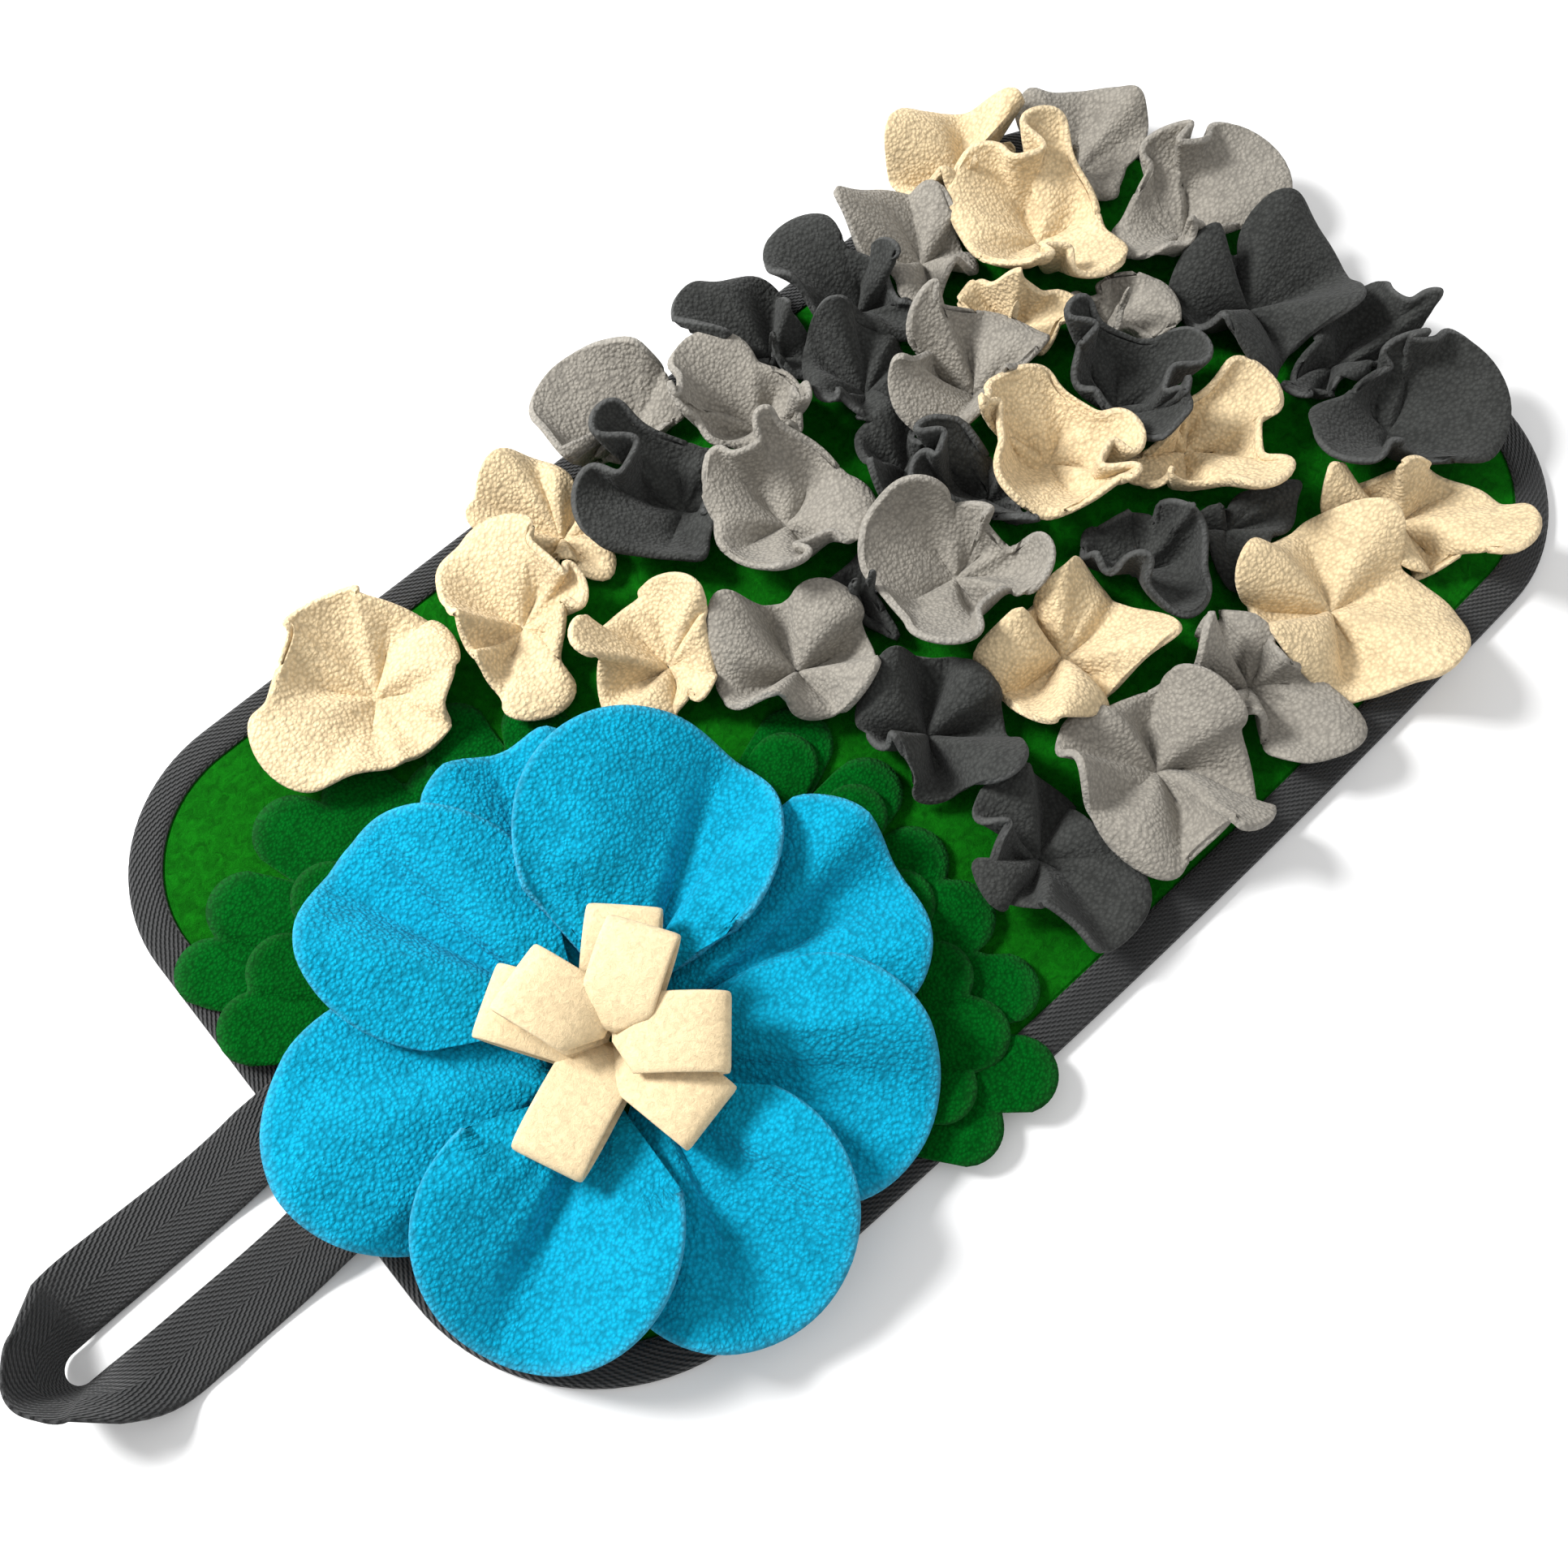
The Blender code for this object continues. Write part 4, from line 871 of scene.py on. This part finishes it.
def make_petal(number, material):
    rows = petal_surface(number)
    thickness = np.ones((len(PETAL_RINGS), PETAL_COLUMNS + 1))
    thickness[-2] = PETAL_NEXT
    thickness[:, [1, -2]] = PETAL_NEXT
    thickness[-1] = PETAL_EDGE
    thickness[:, [0, -1]] = PETAL_EDGE
    name = f"petal_{number + 1}"
    bm = sheet_of(rows, False, thickness=thickness)
    piece = new_piece(f"fleece_{name}", bm, material, name)
    thicken(piece, "fleece")


def make_centre_loop(number, material):
    """A strip bent out, over and back, narrower where it is sewn."""
    loop = CENTRE_LOOPS[number]
    out = heading(loop.azimuth)
    aside = left_of(out)
    tilt = math.tan(math.radians(loop.twist))
    places = np.linspace(0.0, len(LOOP_PATH) - 1.0, LOOP_STEPS)
    outs, ups = (open_spline(range(len(LOOP_PATH)), column, places) for column in zip(*LOOP_PATH))
    rows = []
    for far, up in zip(outs, ups):
        reach = far * loop.reach
        x, y = FLOWER + reach * out
        half = min(LOOP_SPLAY * reach - GAP, LOOP_WIDTH / 2)
        z = CUP_BOTTOM + GAP + CUP_SLOPE * math.hypot(reach, half) + loop.rise + up
        row = []
        for side in LOOP_SIDES:
            drop = LOOP_CROWN * side**2 - half * side * tilt
            row.append((x + aside[0] * half * side, y + aside[1] * half * side, z - drop))
        rows.append(row)
    thickness = [1.0 - LOOP_THINNING * abs(side) ** LOOP_THINNING_POWER for side in LOOP_SIDES]
    name = f"centre_loop_{number + 1}"
    bm = sheet_of(rows, False, thickness=thickness)
    piece = new_piece(f"fleece_{name}", bm, material, name)
    thicken(piece, "strip")


# The leaves


def tongue_reach(tongues, turn, least):
    """How far from the flower's middle the tongues reach one way, where across a tongue, and its layer."""
    reach = least
    place = 1.0
    layer = 0
    for number, tongue in enumerate(tongues):
        way = np.array([tongue.x, tongue.y]) - FLOWER
        length = float(np.hypot(*way))
        off = math.radians(turn) - math.atan2(way[1], way[0])
        if math.cos(off) <= 0.0:
            continue
        aside = abs(length * math.sin(off))
        if aside < tongue.radius:
            far = length * math.cos(off) + math.sqrt(tongue.radius**2 - aside**2)
        else:
            far = tongue.radius / abs(math.sin(off))
        if far > reach:
            reach = far
            place = min(aside / tongue.radius, 1.0)
            layer = number % 2
    return reach, place, layer


def make_leaf(leaf, material):
    """A fan of rounded tongues, each a little crowned, from the leaf's start outwards."""
    whole = leaf.last - leaf.first >= 360.0
    count = int(round((leaf.last - leaf.first) / LEAF_STEP))
    turns = [leaf.first + LEAF_STEP * index for index in range(count if whole else count + 1)]
    tips = [tongue_reach(leaf.tongues, turn, leaf.start + LEAF_LEAST) for turn in turns]
    rows = []
    for ring in LEAF_RINGS:
        row = []
        for turn, (tip, place, layer) in zip(turns, tips):
            x, y = FLOWER + (leaf.start + (tip - leaf.start) * ring) * heading(turn)
            crown = LEAF_CROWN * ring * (1.0 - place**2) + LEAF_LAYER * layer * ring
            row.append((x, y, leaf.bottom + LEAF / 2 + crown + float(edge_lift(x, y))))
        rows.append(row)
    middle = (*FLOWER, leaf.bottom + LEAF / 2) if whole else None
    thickness = [[LEAF_EDGE.get(ring, 1.0)] for ring in LEAF_RINGS]
    bm = sheet_of(rows, whole, middle=middle, thickness=thickness)
    piece = new_piece(f"felt_{leaf.name}", bm, material, leaf.name)
    thicken(piece, "leaf")


# The base, the binding and the strap


def edge_rows(profile):
    """Rows of points round the mat, one for each point of a profile across its edge."""
    return [[(x, y, point.height) for x, y in mat_outline(point.inset)] for point in profile]


def make_felt(material):
    rows = edge_rows(FELT_PROFILE)
    bm = sheet_of(rows, True)
    bm.verts.ensure_lookup_table()
    bm.faces.new(bm.verts[:len(rows[0])])
    bm.faces.new(bm.verts[-len(rows[0]):])
    piece = new_piece("felt_base", bm, material, "mat_felt")
    for face in piece.data.polygons:
        face.use_smooth = False


def make_binding(material):
    """The tape folded over the felt's edge, with its weave laid along it."""
    rows = [row + row[:1] for row in edge_rows(TAPE_PROFILE)]
    along = along_line(rows[0])
    across = along_line(TAPE_PROFILE)
    uv = [[(place, side) for place in along] for side in across]
    bm = sheet_of(rows, False, uv=uv)
    bmesh.ops.remove_doubles(bm, verts=bm.verts, dist=1e-6)
    piece = new_piece("edge_tape", bm, material, "binding")
    thicken(piece, "tape")


def strap_stations():
    """The strap's inner edge and its bank, from one sewn end to the other."""
    knots, *columns = zip(*STRAP_LEG[::-1])
    places = np.linspace(STRAP_LEG[0].x, STRAP_LEG[-1].x, STRAP_LEG_STEPS)
    heights, far, near = (open_spline(knots, column, places) for column in columns)
    stations = []
    for x, height, bank in zip(places, heights, far):
        stations.append((x, STRAP_SLIT_Y + STRAP_SLIT_HALF, height, 90.0, bank))
    for step in range(1, STRAP_TURN_STEPS):
        turn = 90.0 + 180.0 * step / STRAP_TURN_STEPS
        x, y = np.array([STRAP_TURN_X, STRAP_SLIT_Y]) + STRAP_SLIT_HALF * heading(turn)
        ease = STRAP_TURN_EASE * abs(math.cos(math.radians(turn - 90.0))) ** STRAP_TURN_EASING
        stations.append((x, y, STRAP_TURN_HEIGHT, turn, STRAP_TURN_BANK - ease))
    for x, height, bank in zip(places[::-1], heights[::-1], near[::-1]):
        stations.append((x, STRAP_SLIT_Y - STRAP_SLIT_HALF, height, 270.0, bank))
    return stations


def make_strap(material):
    widths = np.linspace(0.0, STRAP_WIDTH, STRAP_COLUMNS + 1)
    rows = []
    for x, y, z, turn, bank in strap_stations():
        lean = math.radians(bank)
        aside, down = heading(turn) * math.cos(lean)
        rows.append([(x + aside * wide, y + down * wide, z + math.sin(lean) * wide) for wide in widths])
    along = along_line([row[STRAP_COLUMNS // 2] for row in rows])
    uv = [[(place, wide) for wide in widths] for place in along]
    bm = sheet_of(rows, False, uv=uv)
    piece = new_piece("webbing_strap", bm, material, "strap_loop")
    thicken(piece, "strap")


# Finishes


def feed(tree, socket, value):
    """Links a socket to an output, or sets it to a plain value."""
    if isinstance(value, bpy.types.NodeSocket):
        tree.links.new(value, socket)
    else:
        socket.default_value = value


def add_node(tree, kind, inputs=None, **settings):
    """A node with these settings, whose inputs are fed by their names or places."""
    node = tree.nodes.new(kind)
    for label, value in settings.items():
        setattr(node, label, value)
    for label, value in (inputs or {}).items():
        feed(tree, node.inputs[label], value)
    return node


def math_node(tree, operation, *values):
    return add_node(tree, "ShaderNodeMath", dict(enumerate(values)), operation=operation).outputs[0]


def weighted(tree, *parts):
    """The sum of values, each times its weight."""
    total = 0.0
    for value, weight in parts:
        total = math_node(tree, "MULTIPLY_ADD", value, weight, total)
    return total


def ripple(tree, value, pitch):
    """A wave that comes back after each pitch."""
    return math_node(tree, "SINE", math_node(tree, "MULTIPLY", value, 2.0 * math.pi / (pitch * MM)))


def noise_node(tree, vector, scale, detail, roughness=0.5, distortion=0.0):
    inputs = {
        "Vector": vector, "Scale": scale, "Detail": detail, "Roughness": roughness, "Distortion": distortion
    }
    return add_node(tree, "ShaderNodeTexNoise", inputs).outputs


def blend(tree, share, first, second):
    """The first colour where the share is 0, the second where it is 1."""
    inputs = {"Factor": share, "A": first, "B": second}
    return add_node(tree, "ShaderNodeMix", inputs, data_type="RGBA").outputs["Result"]


def blend_between(tree, value, low, high, first, second):
    """The first colour where the value is low, the second where it is high."""
    inputs = {"Value": value, "From Min": low, "From Max": high}
    share = add_node(tree, "ShaderNodeMapRange", inputs).outputs["Result"]
    return blend(tree, share, first, second)


def nap_group(name, tufts):
    """An empty group that turns a place and two shades into a colour and a height, with its ends."""
    group = bpy.data.node_groups.new(name, "ShaderNodeTree")
    for label, kind, way in (
        ("Vector", "Vector", "INPUT"),
        ("Colour", "Color", "INPUT"),
        ("Shaded", "Color", "INPUT"),
        ("Tufts per metre", "Float", "INPUT"),
        ("Colour", "Color", "OUTPUT"),
        ("Height", "Float", "OUTPUT"),
    ):
        socket = group.interface.new_socket(label, in_out=way, socket_type=f"NodeSocket{kind}")
        if label == "Tufts per metre":
            socket.default_value = tufts
    return group, group.nodes.new("NodeGroupInput").outputs, group.nodes.new("NodeGroupOutput").inputs


def fleece_nap_group():
    """Brushed fleece: small curled tufts with painted shade in the hollows between them, a fine hair and
    slow random changes of tone.
    """
    group, given, made = nap_group("Fleece nap", FLEECE_TUFTS)
    place = given["Vector"]
    inputs = {0: noise_node(group, place, scale=420.0, detail=2.0)["Color"], 1: (0.0009,) * 3, 2: place}
    curled = add_node(group, "ShaderNodeVectorMath", inputs, operation="MULTIPLY_ADD").outputs[0]
    inputs = {"Vector": curled, "Scale": given["Tufts per metre"], "Smoothness": 0.28}
    tuft = add_node(group, "ShaderNodeTexVoronoi", inputs, feature="SMOOTH_F1").outputs["Distance"]
    hair = noise_node(group, place, scale=2600.0, detail=3.0)["Fac"]
    slow = noise_node(group, place, scale=90.0, detail=4.0)["Fac"]
    feed(group, made["Height"], weighted(group, (tuft, -1.0), (hair, 0.35)))
    # painted shade: the fleece is darker in the hollows between its tufts, mixed with random hair and slow
    # changes of tone
    shade_and_mottle = weighted(group, (tuft, 0.75), (slow, 0.55), (hair, 0.30))
    feed(group, made["Colour"], blend_between(group, shade_and_mottle, 0.45, 1.0, given["Colour"], given["Shaded"]))
    return group


def felt_fibre_group():
    """Needled felt: matted fibres in tufts, lighter and darker."""
    group, given, made = nap_group("Felt fibre", FELT_TUFTS)
    place = given["Vector"]
    tufts = given["Tufts per metre"]
    mottle = noise_node(group, place, scale=tufts, detail=5.0, roughness=0.62, distortion=0.8)["Fac"]
    fibre = noise_node(group, place, scale=1900.0, detail=4.0, distortion=1.6)["Fac"]
    both = weighted(group, (mottle, 1.0), (fibre, 0.6))
    feed(group, made["Height"], both)
    # the darker colour lies where the bump is low: random mottle, and painted shade in the felt's hollows
    feed(group, made["Colour"], blend_between(group, both, 0.58, 1.0, given["Shaded"], given["Colour"]))
    return group


def new_material(name, looks):
    """A material, its node tree and its shader, with these values on the shader's sockets."""
    material = bpy.data.materials.new(name)
    material.use_nodes = True
    shader = material.node_tree.nodes["Principled BSDF"]
    for label, value in looks.items():
        shader.inputs[label].default_value = value
    return material, material.node_tree, shader


def dress(tree, shader, colour, height, depth, strength):
    """Gives a shader its colour, and a height as bump."""
    feed(tree, shader.inputs["Base Color"], colour)
    bump = add_node(tree, "ShaderNodeBump", {"Height": height, "Distance": depth, "Strength": strength})
    feed(tree, shader.inputs["Normal"], bump.outputs["Normal"])


def solid(colour, share=1.0):
    """A colour for a socket, with this part of it left."""
    return (*(value * share for value in colour), 1.0)


def surface_material(finish, group, colour, tuft, depth):
    """A cloth material: the group's shade as base colour and its height as bump."""
    looks = {
        "Roughness": 0.95,
        "Specular IOR Level": finish.gloss,
        "Sheen Weight": finish.sheen,
        "Sheen Roughness": 0.6,
    }
    material, tree, shader = new_material(finish.material, looks)
    inputs = {
        "Vector": add_node(tree, "ShaderNodeTexCoord").outputs["Object"],
        "Colour": solid(colour),
        "Shaded": solid(colour, finish.shade),
        "Tufts per metre": 1.0 / (finish.width * tuft),
    }
    cloth = add_node(tree, "ShaderNodeGroup", node_tree=group, inputs=inputs).outputs
    # painted highlight: the cut edges are paler, as if they caught the light
    edge = add_node(tree, "ShaderNodeAttribute", attribute_name="edge").outputs["Fac"]
    highlight_colour = solid(value + EDGE_HIGHLIGHT * (1.0 - value) ** 2 for value in colour)
    edge_highlighted = blend(tree, math_node(tree, "MULTIPLY", edge, finish.edge), cloth["Colour"], highlight_colour)
    dress(tree, shader, edge_highlighted, cloth["Height"], finish.depth * depth, strength=0.9)
    return material


def webbing_material(colour):
    """Herringbone tape: ribs that slant away from a spine on both sides, and fine yarns along the tape."""
    looks = {"Roughness": 0.72, "Specular IOR Level": 0.3, "Sheen Weight": 0.1}
    material, tree, shader = new_material(TAPE_MATERIAL, looks)
    place = add_node(tree, "ShaderNodeUVMap", uv_map="cloth").outputs["UV"]
    split = add_node(tree, "ShaderNodeSeparateXYZ", {0: place}).outputs
    stripe = math_node(tree, "PINGPONG", split["Y"], STRIPE_WIDTH * MM)
    rib = ripple(tree, weighted(tree, (split["X"], 1.0), (stripe, RIB_SLANT)), RIB_PITCH)
    yarn = ripple(tree, split["Y"], YARN_PITCH)
    inside = add_node(tree, "ShaderNodeTexCoord").outputs["Object"]
    thread = noise_node(tree, inside, scale=1500.0, detail=3.0)["Fac"]
    rough = weighted(tree, (rib, 1.0), (yarn, 0.35), (thread, 1.2))
    # painted shade: the tape is darker between its ribs, mixed with random threads
    shade = blend_between(tree, rough, -0.6, 1.8, solid(colour, TAPE_SHADE), solid(colour))
    dress(tree, shader, shade, rough, TAPE_RELIEF * MM, strength=1.0)
    return material


# What a user can change


def colour_property(name, description, default):
    return FloatVectorProperty(
        name=name, description=description, subtype="COLOR", size=3, min=0.0, max=1.0, default=default
    )


def length_property(name, description, default):
    return FloatProperty(
        name=name, description=description, unit="LENGTH", default=default, min=0.0001, precision=4
    )


class SnuffleMatColours(PropertyGroup):
    """The colours of the cloths."""

    felt: colour_property("Felt", "Colour of the felt base", (0.004, 0.135, 0.004))
    tape: colour_property("Tape", "Colour of the binding and the strap", (0.040, 0.041, 0.042))
    leaf: colour_property("Leaf", "Colour of the leaves", (0.0, 0.098, 0.008))
    petal: colour_property("Petal", "Colour of the petals", (0.003, 0.385, 0.615))
    cream: colour_property("Cream", "Colour of the cream fleece", (0.830, 0.650, 0.395))
    light: colour_property("Light grey", "Colour of the light grey fleece", (0.330, 0.305, 0.262))
    dark: colour_property("Dark grey", "Colour of the dark grey fleece", (0.050, 0.052, 0.049))


class SnuffleMatSizes(PropertyGroup):
    """How thick and how coarse the cloths are."""

    fleece: length_property("Fleece", "Thickness of the ruffles' and the petals' fleece", FLEECE * MM)
    strip: length_property("Strip", "Thickness of the strips in the flower's middle", LOOP_THICKNESS * MM)
    leaf: length_property("Leaf", "Thickness of the leaves", LEAF * MM)
    tape: length_property("Tape", "Thickness of the tape round the edge", TAPE * MM)
    strap: length_property("Strap", "Thickness of the strap", STRAP_THICKNESS * MM)
    tuft: length_property("Tuft", "Width of the fleece's tufts", 0.0014)
    depth: length_property("Depth", "Depth between the tufts", 0.0007)


def cloth_materials():
    """The materials by their cloths, made on the first call."""
    if TAPE_MATERIAL in bpy.data.materials:
        names = {key: finish.material for key, finish in FINISHES.items()}
        names["tape"] = TAPE_MATERIAL
        return {key: bpy.data.materials[name] for key, name in names.items()}
    colours = bpy.context.scene.snuffle_mat_colours
    sizes = bpy.context.scene.snuffle_mat_sizes
    naps = {"fleece": fleece_nap_group(), "felt": felt_fibre_group()}
    made = {}
    for key, finish in FINISHES.items():
        colour = tuple(getattr(colours, finish.colour))
        made[key] = surface_material(finish, naps[finish.nap], colour, sizes.tuft, sizes.depth)
    made["tape"] = webbing_material(tuple(colours.tape))
    return made


class SNUFFLEMAT_OT_base(Operator):
    """Lay the felt base and the tape round its edge"""

    bl_idname = "snufflemat.base"
    bl_label = "Base and binding"

    def execute(self, context):
        materials = cloth_materials()
        make_felt(materials["felt"])
        make_binding(materials["tape"])
        return {"FINISHED"}


class SNUFFLEMAT_OT_strap(Operator):
    """Make the folded webbing strap"""

    bl_idname = "snufflemat.strap"
    bl_label = "Strap"

    def execute(self, context):
        make_strap(cloth_materials()["tape"])
        return {"FINISHED"}


class SNUFFLEMAT_OT_leaves(Operator):
    """Lay the leaves under the flower"""

    bl_idname = "snufflemat.leaves"
    bl_label = "Leaves"

    def execute(self, context):
        material = cloth_materials()["leaf"]
        for leaf in LEAVES:
            make_leaf(leaf, material)
        return {"FINISHED"}


class SNUFFLEMAT_OT_petals(Operator):
    """Sew the flower's petals round its middle"""

    bl_idname = "snufflemat.petals"
    bl_label = "Petals"

    def execute(self, context):
        material = cloth_materials()["petal"]
        for number in range(len(PETALS)):
            make_petal(number, material)
        return {"FINISHED"}


class SNUFFLEMAT_OT_middle(Operator):
    """Make the loops in the flower's middle"""

    bl_idname = "snufflemat.middle"
    bl_label = "Flower middle"

    def execute(self, context):
        material = cloth_materials()["strip"]
        for number in range(len(CENTRE_LOOPS)):
            make_centre_loop(number, material)
        return {"FINISHED"}


class SNUFFLEMAT_OT_ruffles(Operator):
    """Sew the field of fleece ruffles"""

    bl_idname = "snufflemat.ruffles"
    bl_label = "Ruffles"

    def execute(self, context):
        materials = cloth_materials()
        for index, ruffle in enumerate(RUFFLES):
            make_ruffle(index, materials[ruffle.cloth])
        return {"FINISHED"}


class SNUFFLEMAT_OT_stage(Operator):
    """Set the floor, the lights and the camera"""

    bl_idname = "snufflemat.stage"
    bl_label = "Stage"

    def execute(self, context):
        make_stage()
        return {"FINISHED"}


class SNUFFLEMAT_PT_panel(Panel):
    """The mat's colours, its sizes and its pieces"""

    bl_idname = "SNUFFLEMAT_PT_panel"
    bl_label = "Snuffle mat"
    bl_space_type = "VIEW_3D"
    bl_region_type = "UI"
    bl_category = "Snuffle mat"

    def draw(self, context):
        for group in (context.scene.snuffle_mat_colours, context.scene.snuffle_mat_sizes):
            for name in group.bl_rna.properties.keys():
                if name not in ("name", "rna_type"):
                    self.layout.prop(group, name)
        for operator in OPERATORS:
            self.layout.operator(operator.bl_idname)


def make_stage():
    bm = bmesh.new()
    bmesh.ops.create_grid(bm, x_segments=1, y_segments=1, size=FLOOR_HALF)
    bmesh.ops.translate(bm, verts=bm.verts, vec=(0.0, 0.0, FLOOR_HEIGHT))
    material, _, _ = new_material("pale_floor", {"Base Color": solid((FLOOR_SHADE,) * 3), "Roughness": 0.9})
    floor = new_mesh_object("floor", bm, material)
    world = bpy.data.worlds.new("studio")
    world.use_nodes = True
    background = world.node_tree.nodes["Background"]
    background.inputs["Color"].default_value = (1.0, 1.0, 1.0, 1.0)
    background.inputs["Strength"].default_value = WORLD_STRENGTH
    bpy.context.scene.world = world
    bpy.context.scene.view_settings.view_transform = "Standard"
    for name, place, size, power in LAMPS:
        light = bpy.data.lights.new(name, "AREA")
        light.size = size
        light.energy = power
        lamp = new_object(name, light)
        lamp.location = place
        lamp.rotation_euler = (-Vector(place)).to_track_quat("-Z", "Y").to_euler()
    make_camera()


def make_camera():
    azimuth, tilt, roll = np.radians((CAMERA_TURN, CAMERA_TILT, CAMERA_ROLL))
    back = Vector((
        math.sin(azimuth) * math.cos(tilt), -math.cos(azimuth) * math.cos(tilt), math.sin(tilt)
    ))
    right = Vector((math.cos(azimuth), math.sin(azimuth), 0.0))
    up = back.cross(right)
    turned_right = right * math.cos(roll) + up * math.sin(roll)
    turned_up = up * math.cos(roll) - right * math.sin(roll)
    camera = bpy.data.cameras.new("photo_view")
    camera.lens = CAMERA_LENS
    camera.sensor_width = CAMERA_SENSOR
    holder = new_object("photo_view", camera)
    axes = Matrix((turned_right, turned_up, back)).transposed().to_4x4()
    holder.matrix_world = Matrix.Translation(Vector(CAMERA_PLACE) * MM) @ axes
    bpy.context.scene.camera = holder


OPERATORS = (
    SNUFFLEMAT_OT_base,
    SNUFFLEMAT_OT_strap,
    SNUFFLEMAT_OT_leaves,
    SNUFFLEMAT_OT_petals,
    SNUFFLEMAT_OT_middle,
    SNUFFLEMAT_OT_ruffles,
    SNUFFLEMAT_OT_stage,
)
CLASSES = (SnuffleMatColours, SnuffleMatSizes, *OPERATORS, SNUFFLEMAT_PT_panel)


def register():
    for item in CLASSES:
        bpy.utils.register_class(item)
    bpy.types.Scene.snuffle_mat_colours = PointerProperty(type=SnuffleMatColours)
    bpy.types.Scene.snuffle_mat_sizes = PointerProperty(type=SnuffleMatSizes)


def unregister():
    del bpy.types.Scene.snuffle_mat_sizes
    del bpy.types.Scene.snuffle_mat_colours
    for item in reversed(CLASSES):
        bpy.utils.unregister_class(item)


def main():
    register()
    bpy.ops.snufflemat.base()
    bpy.ops.snufflemat.strap()
    bpy.ops.snufflemat.leaves()
    bpy.ops.snufflemat.petals()
    bpy.ops.snufflemat.middle()
    bpy.ops.snufflemat.ruffles()
    bpy.ops.snufflemat.stage()


if __name__ == "__main__":
    main()
